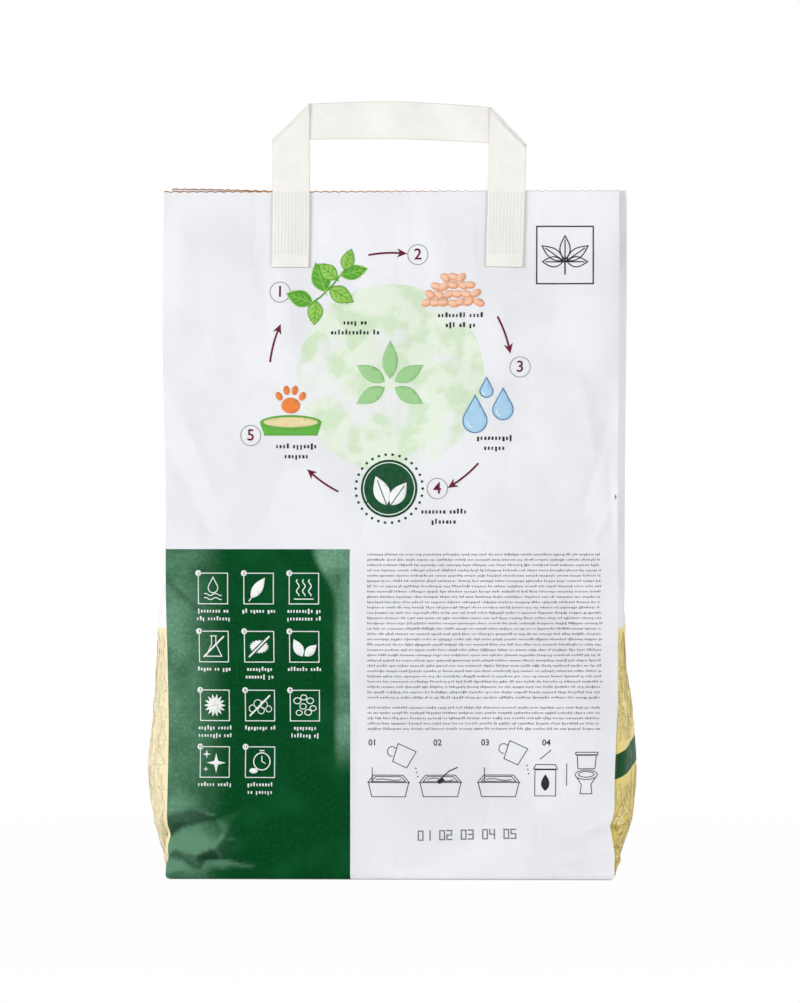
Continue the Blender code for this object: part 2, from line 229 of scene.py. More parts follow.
# Small dark scuffs: s and z, and their reach across and up, in mm
SCUFFS = (
    (122.6, 205.0, 0.8, 1.8), (-72.4, 30.4, 0.9, 0.7), (-81.6, 26.8, 1.1, 0.8), (-84.2, 24.2, 0.8, 0.6),
    (-82.3, 9.4, 1.3, 0.9), (-98.4, 3.6, 0.7, 0.5),
)

# Where creases mark the paper: how sharp an edge turns in radians, or how far a facet leans,
# from no mark to the full one, and how strong that is. Ridges wear pale with a painted sheen,
# facets that face up get a painted highlight, and valleys and facets that face down get painted shade
RIDGE_TURN, RIDGE_WEAR_AND_SHEEN = (0.13, 0.45), 0.60
UPWARD_LEAN, UPWARD_HIGHLIGHT = (0.10, 0.42), 0.58
VALLEY_TURN = (0.14, 0.50)
DOWNWARD_LEAN, DOWNWARD_SHADE = (0.14, 0.60), 0.60
SIDEWAYS_LEAN = 0.7         # facets that face more to the side than this aren't shaded
MARKED_LOW, MARKED_HIGH, MARKED_BACK = 0.003, 0.180, 0.030
# Two spots of painted shade in the pinched holes
PINCH_SPOTS, PINCH_FRONT, PINCH_FLATNESS = ((-118.4, 23.4, 2.4), (-118.9, 12.4, 2.0)), -0.04, 0.6
SOFTENING = 0.6             # how much of a mark comes from the places round it

# Ink on the paper, in mm
INK_LIFT, INK_LAYER, INK_THICKNESS = 0.08, 0.03, 0.02
DRAPE_STEP = 2.5            # shapes are cut this fine, so that they follow the paper
FACES_AT_ONCE = 400         # more faces than this are set aside, which keeps the drawing quick
SHARPEST_MITRE = 0.4        # keeps the corners of lines from running out to long points
NUMBER_WEIGHT = 0.012       # how much bolder a number is drawn, as a share of its size

# The bars that stand for small print, as shares of a line's height, then of the bars' pitch
BAR_PITCH, BAR_FEET, BAR_TOPS = 0.78, (0.0, 0.0, 0.0, 0.0, 0.0, -0.30), (0.70, 0.70, 0.70, 0.70, 1.05)
BAR_WIDTHS, WORD_GAP = (0.42, 0.64), 0.8
WORD_LENGTHS = (0.35, 1.8)  # of the mean one

# A leaf's proportions: its stalk, midrib and veins' run as shares of its length, the veins'
# reach as a share of its width, and how thin they are beside its other lines
LEAF_BULGE = 0.85           # below 1, so that a leaf is widest nearer its foot
LEAF_STALK, LEAF_MIDRIB, VEIN_RUN, VEIN_REACH, VEIN_LINE = 0.12, 0.85, 0.20, 0.30, 0.8


def linear(hex_colour):
    """An sRGB hex value as linear red, green and blue."""
    parts = [int(hex_colour[i:i + 2], 16) / 255.0 for i in (1, 3, 5)]
    return tuple(c / 12.92 if c <= 0.04045 else ((c + 0.055) / 1.055) ** 2.4 for c in parts)


def length_property(name, description, default):
    """A size that a user may change."""
    return FloatProperty(name=name, description=description, default=default, min=0.0,
                         unit="LENGTH", precision=4)


def colour_property(name, description, hex_colour):
    """A colour that a user may change."""
    return FloatVectorProperty(name=name, description=description, default=linear(hex_colour),
                               min=0.0, max=1.0, size=3, subtype="COLOR")


class BagSizes(bpy.types.PropertyGroup):
    """The sizes of the sack and its handle."""

    panel_width: length_property("Panel width", "Flat width of the printed panel", 0.2475)
    gusset_depth: length_property("Gusset depth", "Flat width of each side gusset", 0.0900)
    sack_height: length_property("Sack height", "From the base to the cut top edge", 0.3716)
    panel_bow: length_property("Panel bow", "How far the middle of a panel stands out", 0.0060)
    left_swell: length_property("Left swell", "How far the left gusset stands out", 0.0150)
    right_swell: length_property("Right swell", "How far the right gusset stands out", 0.0114)
    tape_width: length_property("Tape width", "Width of the handle's flat paper tape", 0.0203)
    handle_rise: length_property("Handle rise", "From the top edge to the handle's corner", 0.0474)
    handle_span: length_property("Handle span", "Between the middles of the two legs", 0.1160)


class PaperColours(bpy.types.PropertyGroup):
    """The colours of the paper and of the printed fields on it."""

    white: colour_property("White", "Clay coating, as lit", "#E7E8EB")
    white_shade: colour_property("White shade", "Its faint clouding", "#E0E1E5")
    green: colour_property("Green", "The dark green block", "#01401B")
    green_light: colour_property("Green light", "Thinner ink in the green block", "#075029")
    # Painted sheen on the green, with wear on the ridges
    green_rubbed: colour_property("Green sheen", "Painted sheen, with wear on ridges", "#78A78B")
    # Painted shade for the creases; the green one also colours the scuffs
    green_grime: colour_property("Green scuffs and shade", "Dark valleys of the green block", "#03180B")
    olive_grime: colour_property("Olive painted shade", "Dark valleys of the gussets", "#5C4B1C")
    disc: colour_property("Disc", "The pale green disc", "#DEE8D8")
    disc_shade: colour_property("Disc shade", "Its mottling", "#CDDFC2")
    olive: colour_property("Olive", "Behind the foliage on the right gusset", "#ECDB97")
    olive_low: colour_property("Low olive", "The same, nearer the base", "#D6BC4A")
    # The same olive print, painted paler as a sheen of the light from the left
    cream: colour_property("Cream", "Behind the foliage on the left gusset", "#EADDB6")
    kraft: colour_property("Kraft", "Bare kraft where the paper is cut", "#BC8748")
    kraft_dark: colour_property("Dark kraft", "Its darker fibres", "#74491F")
    tape: colour_property("Tape", "The handle's paper tape", "#E9E8E3")
    tape_edge: colour_property("Tape edge", "The cut edges of the tape", "#D2C2B6")
    tape_groove: colour_property("Tape groove", "Shade between the glue ribs", "#D8D8D8")


class InkColours(bpy.types.PropertyGroup):
    """The printing inks of the artwork."""

    white_ink: colour_property("White", "Pictograms on the green block", "#EDF0EE")
    black_ink: colour_property("Black", "Small lines and drawings", "#2B2A2D")
    text_ink: colour_property("Text grey", "The block of small lines", "#808186")
    dot_ink: colour_property("Dot grey", "The dotted number line", "#6E7074")
    maroon_ink: colour_property("Maroon", "Arrows and numbers", "#6B1535")
    leaf_ink: colour_property("Leaf green", "Leaves", "#57A336")
    young_leaf_ink: colour_property("Young leaf green", "Lighter leaves", "#96C75A")
    soft_leaf_ink: colour_property("Soft leaf green", "The sprig on the pale disc", "#9CCB8F")
    deep_green_ink: colour_property("Deep green", "The round leaf badge", "#0F4A2B")
    water_ink: colour_property("Water blue", "Drops", "#A9CFEA")
    deep_water_ink: colour_property("Deep blue", "Rims of the drops", "#4E7FAF")
    peach_ink: colour_property("Peach", "Granules", "#F3C2A3")
    deep_peach_ink: colour_property("Deep peach", "Granules in shade", "#E5A47F")
    orange_ink: colour_property("Orange", "The paw print", "#E98443")
    tray_ink: colour_property("Tray green", "The tray", "#63AE45")
    sand_ink: colour_property("Sand", "The litter in the tray", "#E6D6A4")
    olive_leaf_ink: colour_property("Olive leaf", "Foliage on the right gusset", "#EFDF9E")
    olive_line_ink: colour_property("Olive line", "Its veins and outlines", "#BFAC62")
    # Leaves of the left gusset, painted paler with the same sheen
    cream_leaf_ink: colour_property("Cream leaf", "Foliage on the left gusset", "#EDE3C0")
    cream_line_ink: colour_property("Cream line", "Its veins and outlines", "#E3D7B1")


class StageSettings(bpy.types.PropertyGroup):
    """The camera and the floor."""

    distance: length_property("Camera distance", "From the camera to the bag's middle", 3.0)
    height: length_property("Camera height", "Of the level line of sight", 0.2026)
    side_step: length_property("Side step", "How far the camera stands to the right", 0.0046)
    turn: FloatProperty(name="Turn", description="How far the camera goes round to the right",
                        default=math.radians(2.2), subtype="ANGLE")
    lens: FloatProperty(name="Lens", description="Focal length", default=198.1, unit="CAMERA")
    floor: colour_property("Floor", "The plain pale floor", "#F4F4F4")


# Shape functions

def smooth(low, high, value):
    """0 below low, 1 above high, and an even turn between them."""
    t = min(max((value - low) / (high - low), 0.0), 1.0)
    return t * t * (3.0 - 2.0 * t)


def hump(middle, reach, value):
    """1 at the middle, falling to 0 at the given reach on both sides."""
    return 1.0 - smooth(0.0, reach, abs(value - middle))


def with_limits(creases):
    """Each crease with the lowest and highest z that it reaches, and its run and rise."""
    made = []
    for x0, z0, x1, z1, height, reach in creases:
        low, high = min(z0, z1) - reach, max(z0, z1) + reach
        made.append((low, high, x0, z0, x1 - x0, z1 - z0, height, reach))
    return made


def crease_height(x, z, creases):
    """The summed height of straight creases at a place, in mm: sharp lines with fading flanks."""
    total = 0.0
    for low, high, x0, z0, run, rise, height, reach in creases:
        if not low < z < high:
            continue
        share = ((x - x0) * run + (z - z0) * rise) / (run * run + rise * rise)
        share = min(max(share, 0.0), 1.0)
        distance = math.hypot(x - x0 - share * run, z - z0 - share * rise)
        if distance < reach:
            total += height * (1.0 - distance / reach) ** 2
    return total


def crumple_cage():
    """The crumpled corner as a few flat facets, over s and z in mm, with depth as height."""
    names = list(CRUMPLE_POINTS)
    flat = [Vector(CRUMPLE_POINTS[name][:2]) for name in names]
    folds = [(names.index(a), names.index(b)) for a, b in CRUMPLE_FOLDS]
    spots, _, facets, sources, _, _ = geometry.delaunay_2d_cdt(flat, folds, [], 0, 1e-4)
    corners = []
    for spot, source in zip(spots, sources):
        depth = CRUMPLE_POINTS[names[source[0]]][2] if source else 0.0
        corners.append(Vector((spot.x, spot.y, depth)))
    return BVHTree.FromPolygons(corners, facets)


class SackForm:
    """Where each place on the sack's flat sheet of paper is in the frame.

    s runs along the sheet: across the near panel from its middle, then round the right gusset,
    the far panel and the left gusset, which are zones 0 to 3. z is the height. A side is -1 at
    the left and +1 at the right."""

    def __init__(self, sizes):
        self.width = sizes.panel_width
        self.half = 0.5 * self.width
        self.depth = sizes.gusset_depth
        self.height = sizes.sack_height
        self.bow = sizes.panel_bow
        self.left_swell = sizes.left_swell
        self.right_swell = sizes.right_swell
        self.cage = crumple_cage()
        self.near_creases = with_limits(NEAR_CREASES)
        self.right_creases = with_limits(GUSSET_CREASES + RIGHT_GUSSET_CREASES)
        self.left_creases = with_limits(GUSSET_CREASES + LEFT_GUSSET_CREASES)
        self.zone_starts = (-self.half, self.half, self.half + self.depth,
                            self.half + self.depth + self.width)
        self.zone_lengths = (self.width, self.depth, self.width, self.depth)

    def gap(self, z):
        """How far apart the panels' folds stand: full below the shoulder, closing above it."""
        share = min(max((z - SHOULDER_HEIGHT) / (self.height - SHOULDER_HEIGHT), 0.0), 1.0)
        return CLOSED_THICKNESS + (self.depth - CLOSED_THICKNESS) * (1.0 - share ** TAPER_POWER) ** 2

    def panel_bow(self, z):
        """How far the middle of a panel stands out."""
        if z < PANEL_BOW_HEIGHT:
            return self.bow * smooth(0.0, PANEL_BOW_HEIGHT, z)
        return self.bow * (1.0 - smooth(PANEL_BOW_HEIGHT, self.height, z))

    def swell(self, side, z):
        """How far the filling pushes the middle of a gusset out."""
        if side < 0:
            swell, height, end = self.left_swell, LEFT_SWELL_HEIGHT, LEFT_SWELL_END
        else:
            swell, height, end = self.right_swell, RIGHT_SWELL_HEIGHT, RIGHT_SWELL_END
        if z < height:
            return swell * math.sin(0.5 * math.pi * z / height)
        return swell * (1.0 - smooth(height, end, z))

    def tuck(self, z):
        """How far the middle of a gusset is folded in above the filling."""
        half = 0.5 * self.depth
        across = min(0.5 * self.gap(z), half)
        return math.sqrt(half * half - across * across) * smooth(TUCK_START, TUCK_END, z)

    def fold_x(self, side, z):
        """How far a side fold stands from the middle."""
        inset = LEFT_INSET if side < 0 else RIGHT_INSET
        inset *= 1.0 - smooth(INSET_HEIGHT, INSET_END, z)
        if side < 0:
            return self.half - inset - WAIST_INSET * hump(WAIST_HEIGHT, WAIST_HEIGHT, z)
        inset += RIGHT_WAIST_INSET * hump(RIGHT_WAIST_HEIGHT, RIGHT_WAIST_REACH, z)
        return self.half - inset - RIGHT_FOOT_INSET * hump(0.0, RIGHT_FOOT_REACH, z)

    def notch(self, side, z):
        """How far a near side fold is pushed in."""
        notches = LEFT_NOTCHES if side < 0 else RIGHT_NOTCHES
        return sum(depth * hump(height, reach, z) for height, depth, reach in notches)

    def parting(self, x, z):
        """How far each lip stands open beside the left corner."""
        along = 1.0 - smooth(0.0, LIP_PARTING_LENGTH, x + self.half)
        return LIP_PARTING * along * smooth(self.height - LIP_PARTING_DEPTH, self.height, z)

    def rounding(self, z):
        """How far the rounded base edge is drawn in."""
        if z >= BASE_EDGE_RADIUS:
            return 0.0
        rise = BASE_EDGE_RADIUS - z
        return BASE_EDGE_RADIUS - math.sqrt(BASE_EDGE_RADIUS ** 2 - rise ** 2)

    def roll(self, s, z):
        """How far the near panel curves back beside its side folds."""
        fade = smooth(ROLL_START, ROLL_END, z) if z > ROLL_END else smooth(0.0, ROLL_FOOT, z)
        left = LEFT_ROLL * smooth(LEFT_ROLL_WIDTH - self.half, -self.half, s)
        right = RIGHT_ROLL * smooth(self.half - RIGHT_ROLL_WIDTH, self.half, s)
        return fade * (left + right)

    def near_push(self, s, z):
        """How far the near panel's paper is pushed in at a place, creases and puckers included."""
        push = self.roll(s, z)
        hit = self.cage.ray_cast(Vector((s / MM, z / MM, ABOVE_CAGE)), Vector((0.0, 0.0, -1.0)))[0]
        if hit:
            push += CRUMPLE_STRENGTH * hit.z * MM
        push -= CREASE_STRENGTH * crease_height(s / MM, z / MM, self.near_creases) * MM
        push += self.puckers(s, z, 0)
        if z > SHOW_THROUGH_START:
            over = smooth(SHOW_THROUGH_X - SHOW_THROUGH_SOFTNESS, SHOW_THROUGH_X + SHOW_THROUGH_SOFTNESS,
                          abs(s - SHOW_THROUGH_SHIFT))
            push -= SHOW_THROUGH_STEP * over * smooth(SHOW_THROUGH_START, SHOW_THROUGH_END, z)
        return push * smooth(0.0, CREASE_FOOT, z)

    def puckers(self, s, z, zone):
        """Soft waves of a filled paper sack, flat where it meets its base and its top edge."""
        fade = smooth(0.0, WAVE_FOOT, z) * (1.0 - smooth(self.height - WAVE_TOP, self.height, z))
        wave = noise.noise(Vector((s / PUCKER_WIDTH, z / PUCKER_HEIGHT, PUCKER_PLACE + zone)))
        rumple = noise.noise(Vector((s / RUMPLE_SIZE, z / RUMPLE_SIZE, RUMPLE_PLACE + zone)))
        pleat = noise.noise(Vector((s / PLEAT_WIDTH, z / PLEAT_HEIGHT, PLEAT_PLACE + zone)))
        pleat *= PLEAT_DEPTH * smooth(PLEAT_START, PLEAT_END, z)
        facet = noise.voronoi(Vector((s / FACET_WIDTH, z / FACET_HEIGHT, FACET_PLACE + zone)))[0][0]
        facet = FACET_DEPTH * (facet - 0.5)
        return fade * (PUCKER_DEPTH * wave + RUMPLE_DEPTH * rumple + pleat + facet)

    def panel_point(self, face, s, z):
        """A point of the near panel (face -1) or the far one (face +1), s from its middle."""
        side = math.copysign(1.0, s)
        u = s / self.half
        flat_z = min(z, self.height)
        draw_in = self.rounding(z)
        dent = self.notch(side, z) * u ** DENT_SHARPNESS if face < 0 else 0.0
        x = u * (self.fold_x(side, flat_z) - draw_in - dent)
        y = -0.5 * self.gap(flat_z) - self.panel_bow(flat_z) * (1.0 - u * u)
        y += draw_in - self.parting(x, flat_z)
        if face < 0:
            return Vector((x, y + self.near_push(s, flat_z), z))
        y += self.puckers(s, flat_z, 2)
        return Vector((x + self.far_shift(flat_z), -y, z))

    def far_shift(self, z):
        """How far the far panel sits to the right."""
        return FAR_PANEL_SHIFT * smooth(SHIFT_START, SHIFT_END, z)

    def gusset_point(self, side, t, z):
        """A point of a gusset, t from -1 at its near side fold to +1 at its far one."""
        flat_z = min(z, self.height)
        draw_in = self.rounding(z)
        parting = self.parting(side * self.half, flat_z)
        half_gap = 0.5 * self.gap(flat_z) + parting - FOLD_THICKNESS
        out = self.swell(side, flat_z) * (1.0 - t * t) - self.tuck(flat_z) * (1.0 - abs(t))
        out -= self.notch(side, z) * max(-t, 0.0) ** 3
        flat = (0.5 + 0.5 * t) * self.depth / MM
        creases = self.right_creases if side > 0 else self.left_creases
        height = crease_height(flat, z / MM, creases) * MM
        height -= self.puckers(0.5 * t * self.depth, z, 2 + side)
        full = smooth(0.0, CREASE_FOOT, z) * smooth(GUSSET_CREASES_GONE, GUSSET_CREASES_FULL, z)
        out += height * (1.0 - t ** 8) * full
        x = side * (self.fold_x(side, flat_z) - draw_in + out)
        x += 0.5 * (1.0 + t) * self.far_shift(flat_z)
        y = t * (half_gap - draw_in)
        y += self.near_push(side * self.half, flat_z) * (1.0 - smooth(0.0, FOLD_FOLLOW, 1.0 + t))
        return Vector((x, y, z))

    def point(self, zone, s, z):
        """The point of the sheet at s and z, in the given zone."""
        from_start = s - self.zone_starts[zone]
        if zone == 0:
            return self.panel_point(-1, s, z)
        if zone == 1:
            return self.gusset_point(1, 2.0 * from_start / self.depth - 1.0, z)
        if zone == 2:
            return self.panel_point(1, self.half - from_start, z)
        return self.gusset_point(-1, 1.0 - 2.0 * from_start / self.depth, z)

    def edge_height(self, point):
        """Where the blade cut the sheet above this point."""
        phase = (point.x / (0.5 * TOOTH_PITCH)) % 2.0
        height = self.height - TOOTH_DEPTH * abs(phase - 1.0)
        if point.y > 0.0:
            height += FAR_LIP_RISE * (1.0 - smooth(0.0, FAR_LIP_LENGTH, point.x + self.half))
        return height


# Materials

SHEEN = 0.04        # how much of the varnish's full gloss shows in soft light
SOFT = {"interpolation_type": "SMOOTHSTEP"}
WHITE_LIGHT = (1.0, 1.0, 1.0)


def set_inputs(node, inputs):
    """Give a node's inputs values or other nodes' sockets, by name, by number or in their order."""
    for key, value in inputs.items() if isinstance(inputs, dict) else enumerate(inputs):
        socket = node.inputs[key]
        if isinstance(value, bpy.types.NodeSocket):
            node.id_data.links.new(value, socket)
        else:
            socket.default_value = (*value, 1.0) if socket.type == "RGBA" else value


def add_node(tree, kind, inputs=(), output=0, **settings):
    """Add a shader node with its settings, inputs and links, and return one of its outputs."""
    node = tree.nodes.new("ShaderNode" + kind)
    for name, value in settings.items():
        setattr(node, name, value)
    set_inputs(node, inputs)
    return node.outputs[output]


def new_material(name, values):
    """A material, what adds its nodes, and its Principled shader with constants on its sockets."""
    material = bpy.data.materials.new(name)
    material.use_nodes = True
    tree = material.node_tree
    shader = tree.nodes["Principled BSDF"]
    set_inputs(shader, values)
    return material, partial(add_node, tree), shader


def combine(add, operation, *values):
    """Several numbers brought together by one sum, such as MULTIPLY or MAXIMUM."""
    return reduce(lambda first, second: add("Math", (first, second), operation=operation), values)


def layered(add, colour, *layers):
    """Colours laid over a first one, each with its share."""
    for share, over in layers:
        colour = add("Mix", {0: share, 6: colour, 7: over}, 2, data_type="RGBA")
    return colour


def cloud(add, place, size, detail, low, high, low_value=0.0, high_value=1.0):
    """Noise with features of a real size in mm, spread between two values."""
    pattern = add("TexNoise", {"Vector": place, "Scale": per_mm(size), "Detail": detail}, "Fac")
    return add("MapRange", (pattern, low, high, low_value, high_value), **SOFT)


def from_spot(add, sheet, x, z, wide, tall):
    """How far off a spot a place is, in shares of the spot's reach across and up, in mm."""
    centred = {"Vector": sheet, "Location": (*mm(x, z), 0.0), "Scale": (*mm(wide, tall), 1.0)}
    from_middle = add("Mapping", centred, vector_type="TEXTURE")
    return add("VectorMath", (from_middle,), "Value", operation="LENGTH")


def bump(add, shader, *layers):
    """Patterns with their depths in mm, summed into one bump."""
    normal = None
    for height, depth in layers:
        inputs = {"Height": height, "Distance": depth * MM, "Strength": 1.0}
        if normal:
            inputs["Normal"] = normal
        normal = add("Bump", inputs)
    set_inputs(shader, {"Normal": normal})


def per_mm(size):
    """The scale of a pattern whose features are this many millimetres across."""
    return 1.0 / (size * MM)


def mm(*lengths):
    """Lengths in mm as metres."""
    return tuple(length * MM for length in lengths)


def middle_and_half(low, high):
    """The middle of a stretch and half its length, as a comparison takes them."""
    return 0.5 * (low + high), 0.5 * (high - low)


def darker(colour, share):
    """A colour at a share of its brightness."""
    return tuple(share * part for part in colour)


def disc_ink(add, sheet, colours):
    """The pale disc's mottled ink, and where it lies: thin in clouds, and none outside its rim."""
    away = add("VectorMath", (sheet, (*mm(*DISC_CENTRE), 0.0)), "Value", operation="DISTANCE")
    inside = add("MapRange", (away, *mm(DISC_RADIUS - DISC_RIM, DISC_RADIUS), 1.0, 0.0))
    thin = cloud(add, sheet, 27.0, 2.0, 0.50, 0.60, 1.0, 0.25)
    mottled = layered(add, colours.disc, (cloud(add, sheet, 16.0, 4.0, 0.44, 0.56), colours.disc_shade))
    return combine(add, "MULTIPLY", inside, thin), mottled


def sheen_and_wear_share(add, sheet, s, z, speckle):
    """Painted sheen on the green ink by the left fold, down the right edge and in the corner."""
    by_fold = add("MapRange", (s, *mm(*FOLD_SHEEN_REACH), FOLD_SHEEN, 0.0), **SOFT)
    flare = add("MapRange", (z, *mm(*EDGE_SHEEN_FLARE, *EDGE_SHEEN_WIDTHS)), **SOFT)
    to_edge = add("Math", (GREEN_BLOCK[1] * MM, s), operation="SUBTRACT")
    inwards = add("Math", (flare, to_edge), operation="SUBTRACT")
    strip = add("MapRange", (inwards, *mm(*EDGE_SHEEN_SOFTNESS), 0.0, EDGE_SHEEN), **SOFT)
    above = add("MapRange", (z, *mm(*EDGE_SHEEN_FOOT), 0.0, 1.0), **SOFT)
    by_corner = add("MapRange", (from_spot(add, sheet, *CORNER_SHEEN_SPOT), *CORNER_SHEEN_REACH,
                                 CORNER_SHEEN, 0.0), **SOFT)
    sheen = combine(add, "MAXIMUM", by_fold, combine(add, "MULTIPLY", strip, above), by_corner)
    patchy = cloud(add, sheet, 22.0, 5.0, 0.34, 0.62, 0.48, 1.0)
    grainy = add("Math", (speckle, 0.30, 0.78), operation="MULTIPLY_ADD")
    # Wear on ridges, and a painted highlight on facets that face up
    creased = add("Attribute", output="Fac", attribute_name="crease_rub")
    return combine(add, "MAXIMUM", combine(add, "MULTIPLY", sheen, patchy, grainy), creased)


def printed_paper(colours, form):
    """Clay-coated kraft, gravure printed and varnished.

    The coating gives an even, cool white with a soft gloss; the ink lies on it slightly cloudy.
    On the green, a painted sheen lies beside the folds and in the crumpled corner, ridges wear
    pale, facets that face up get a painted highlight, and creases get painted shade."""
    material, add, shader = new_material(
        "clay_coated_kraft_gravure_print", {"IOR": 1.5, "Specular IOR Level": SHEEN})
    sheet = add("UVMap", uv_map="flat_sheet")
    s, z = (add("SeparateXYZ", (sheet,), axis) for axis in "XY")
    clouding = cloud(add, sheet, 60.0, 3.0, 0.35, 0.65)
    disc_share, disc = disc_ink(add, sheet, colours)

    # The gussets and the far panel, olive below the white, with a dark green band
    past_fold = add("Math", (s, form.half + FOLD_EDGE), operation="GREATER_THAN")
    on_left = add("Math", (s, form.zone_starts[3]), operation="GREATER_THAN")
    on_right = add("Math", (past_fold, on_left), operation="SUBTRACT")
    below_white = add("Math", (z, FOLIAGE_TOP * MM), operation="LESS_THAN")
    to_base = add("MapRange", (z, *mm(0.0, LOW_OLIVE_TOP), 1.0, 0.0))
    # The left gusset's olive is painted paler, as a painted sheen of the light from the left
    ground = layered(add, colours.olive, (to_base, colours.olive_low), (on_left, colours.cream))
    past = add("Math", (s, form.half), operation="SUBTRACT")
    across = add("Math", (past, form.depth), operation="MINIMUM")
    band_middle = add("Math", (across, BAND_RISE, BAND_HEIGHT * MM), operation="MULTIPLY_ADD")
    in_band = add("Math", (z, band_middle, BAND_HALF * MM), operation="COMPARE")

    # The green block and the band: cloudy solid ink
    left, right, bottom, top = mm(*GREEN_BLOCK)
    in_block = combine(add, "MULTIPLY", *(
        add("Math", (way, *middle_and_half(low, high)), operation="COMPARE")
        for way, low, high in ((s, left, right), (z, bottom, top))))
    speckle = cloud(add, sheet, 1.9, 4.0, 0.38, 0.72)
    thin_ink = combine(add, "MAXIMUM", cloud(add, sheet, 24.0, 5.0, 0.42, 0.74),
                       combine(add, "MULTIPLY", speckle, 0.7))
    green = layered(add, colours.green, (thin_ink, colours.green_light))
    green_with_sheen = layered(add, green, (sheen_and_wear_share(add, sheet, s, z, speckle), colours.green_rubbed))

    # Dark scuffs, and painted shade in the creases of the green block and of the right gusset
    scuffs = []
    for spot in SCUFFS:
        scuffed = add("MapRange", (from_spot(add, sheet, *spot), 0.3, 1.0, 0.75, 0.0), **SOFT)
        scuffs.append((scuffed, colours.green_grime))
    painted_shade = layered(add, colours.green_grime, (past_fold, colours.olive_grime))
    valley = add("Attribute", output="Fac", attribute_name="crease_shade")
    painted_shade_share = combine(add, "MULTIPLY", combine(add, "MAXIMUM", in_block, on_right), 0.6, valley)

    colour = layered(
        add, colours.white, (clouding, colours.white_shade), (disc_share, disc),
        (combine(add, "MULTIPLY", past_fold, below_white), ground), (in_block, green_with_sheen),
        (combine(add, "MULTIPLY", in_band, on_right), green), *scuffs, (painted_shade_share, painted_shade))
    roughness = cloud(add, sheet, 9.0, 3.0, 0.3, 0.7, 0.36, 0.48)
    set_inputs(shader, {"Base Color": colour, "Roughness": roughness})
    fibres = cloud(add, sheet, 0.9, 3.0, 0.2, 0.8)
    cockle = cloud(add, sheet, 11.0, 2.0, 0.2, 0.8)
    to_crease = add("TexVoronoi", {"Vector": sheet, "Scale": per_mm(26.0), "Randomness": 1.0},
                    "Distance", feature="DISTANCE_TO_EDGE")
    crease_line = add("MapRange", (to_crease, 0.0, 0.10, 0.0, 1.0))
    bump(add, shader, (fibres, 0.012), (cockle, 0.16), (crease_line, 0.10))
    return material


def bare_kraft(colours):
    """Uncoated kraft at the blade's cut: brown fibres, matt and ragged."""
    material, add, shader = new_material("bare_kraft_torn_edge", {"Roughness": 0.9, "IOR": 1.45})
    place = add("TexCoord", output="Object")
    fibre = cloud(add, place, 0.9, 4.0, 0.35, 0.62)
    wide = cloud(add, place, 5.0, 2.0, 0.40, 0.60)
    fine_share = combine(add, "MULTIPLY", fibre, 0.5)
    share = add("Math", (wide, 0.45, fine_share), operation="MULTIPLY_ADD")
    set_inputs(shader, {"Base Color": layered(add, colours.kraft, (share, colours.kraft_dark))})
    bump(add, shader, (fibre, 0.10))
    return material


def paper_tape(colours):
    """Machine-glazed white kraft tape, slit and glued flat.

    It is warmer and duller than the sack, with fine lines along it. The dotted glue ribs of its
    pasted ends cast shadows that read grey between the dots."""
    material, add, shader = new_material("machine_glazed_paper_tape", {"Roughness": 0.55, "IOR": 1.48})
    tape = add("UVMap", uv_map="flat_tape")
    across, along = (add("SeparateXYZ", (tape,), axis) for axis in "XY")
    drawn_out = add("Mapping", {"Vector": tape, "Scale": (1.0, 0.08, 1.0)})
    lines = cloud(add, drawn_out, 0.8, 3.0, 0.3, 0.7)
    clouding = cloud(add, tape, 14.0, 2.0, 0.35, 0.65)
    cloud_share = combine(add, "MULTIPLY", clouding, 0.5)
    shade = add("Math", (lines, 0.35, cloud_share), operation="MULTIPLY_ADD")
    off_middle = add("Math", (across,), operation="ABSOLUTE")
    at_edge = add("Math", (off_middle, SLIT_EDGE), operation="GREATER_THAN")
    in_ribs = add("Math", (off_middle, RIBS_HALF), operation="LESS_THAN")
    pasted = add("Math", (along, *middle_and_half(RIB_START, RIB_END)), operation="COMPARE")
    rib, dot = (add("Math", (combine(add, "MULTIPLY", way, 2.0 * math.pi / pitch),), operation="COSINE")
                for way, pitch in ((across, RIB_PITCH), (along, RIB_DOT_PITCH)))
    # Painted shade greys the tape between the dotted glue ribs
    dots = add("Math", (dot, -0.13, 0.45), operation="MULTIPLY_ADD")
    grooves = add("Math", (rib, -0.32, dots), operation="MULTIPLY_ADD")
    colour = layered(add, colours.tape, (shade, darker(colours.tape, 0.93)),
                     (combine(add, "MULTIPLY", at_edge, 0.8), colours.tape_edge),
                     (combine(add, "MULTIPLY", grooves, pasted, in_ribs), colours.tape_groove))
    set_inputs(shader, {"Base Color": colour})
    bump(add, shader, (lines, 0.02), (clouding, 0.10))
    return material


def tape_cut_edge(colours):
    """The slit edge of the tape, where its unbleached core shows."""
    material, add, shader = new_material("slit_tape_edge", {"Roughness": 0.85})
    fibre = cloud(add, add("TexCoord", output="Object"), 0.8, 3.0, 0.3, 0.7)
    colour = layered(add, colours.tape_edge, (fibre, darker(colours.tape_edge, 0.8)))
    set_inputs(shader, {"Base Color": colour})
    return material


def printing_ink(name, colour):
    """Gravure ink on the coating: thin, slightly uneven, with the varnish's soft gloss."""
    existing = bpy.data.materials.get("gravure_" + name)
    if existing:
        return existing
    material, add, shader = new_material(
        "gravure_" + name, {"Roughness": 0.42, "Specular IOR Level": SHEEN})
    place = add("TexCoord", output="Object")
    uneven = cloud(add, place, 3.0, 3.0, 0.3, 0.7)
    thin = tuple(min(1.0, 0.93 * part + 0.02) for part in colour)
    set_inputs(shader, {"Base Color": layered(add, colour, (uneven, thin))})
    bump(add, shader, (cloud(add, place, 0.9, 2.0, 0.2, 0.8), 0.012))
    return material


# Pieces

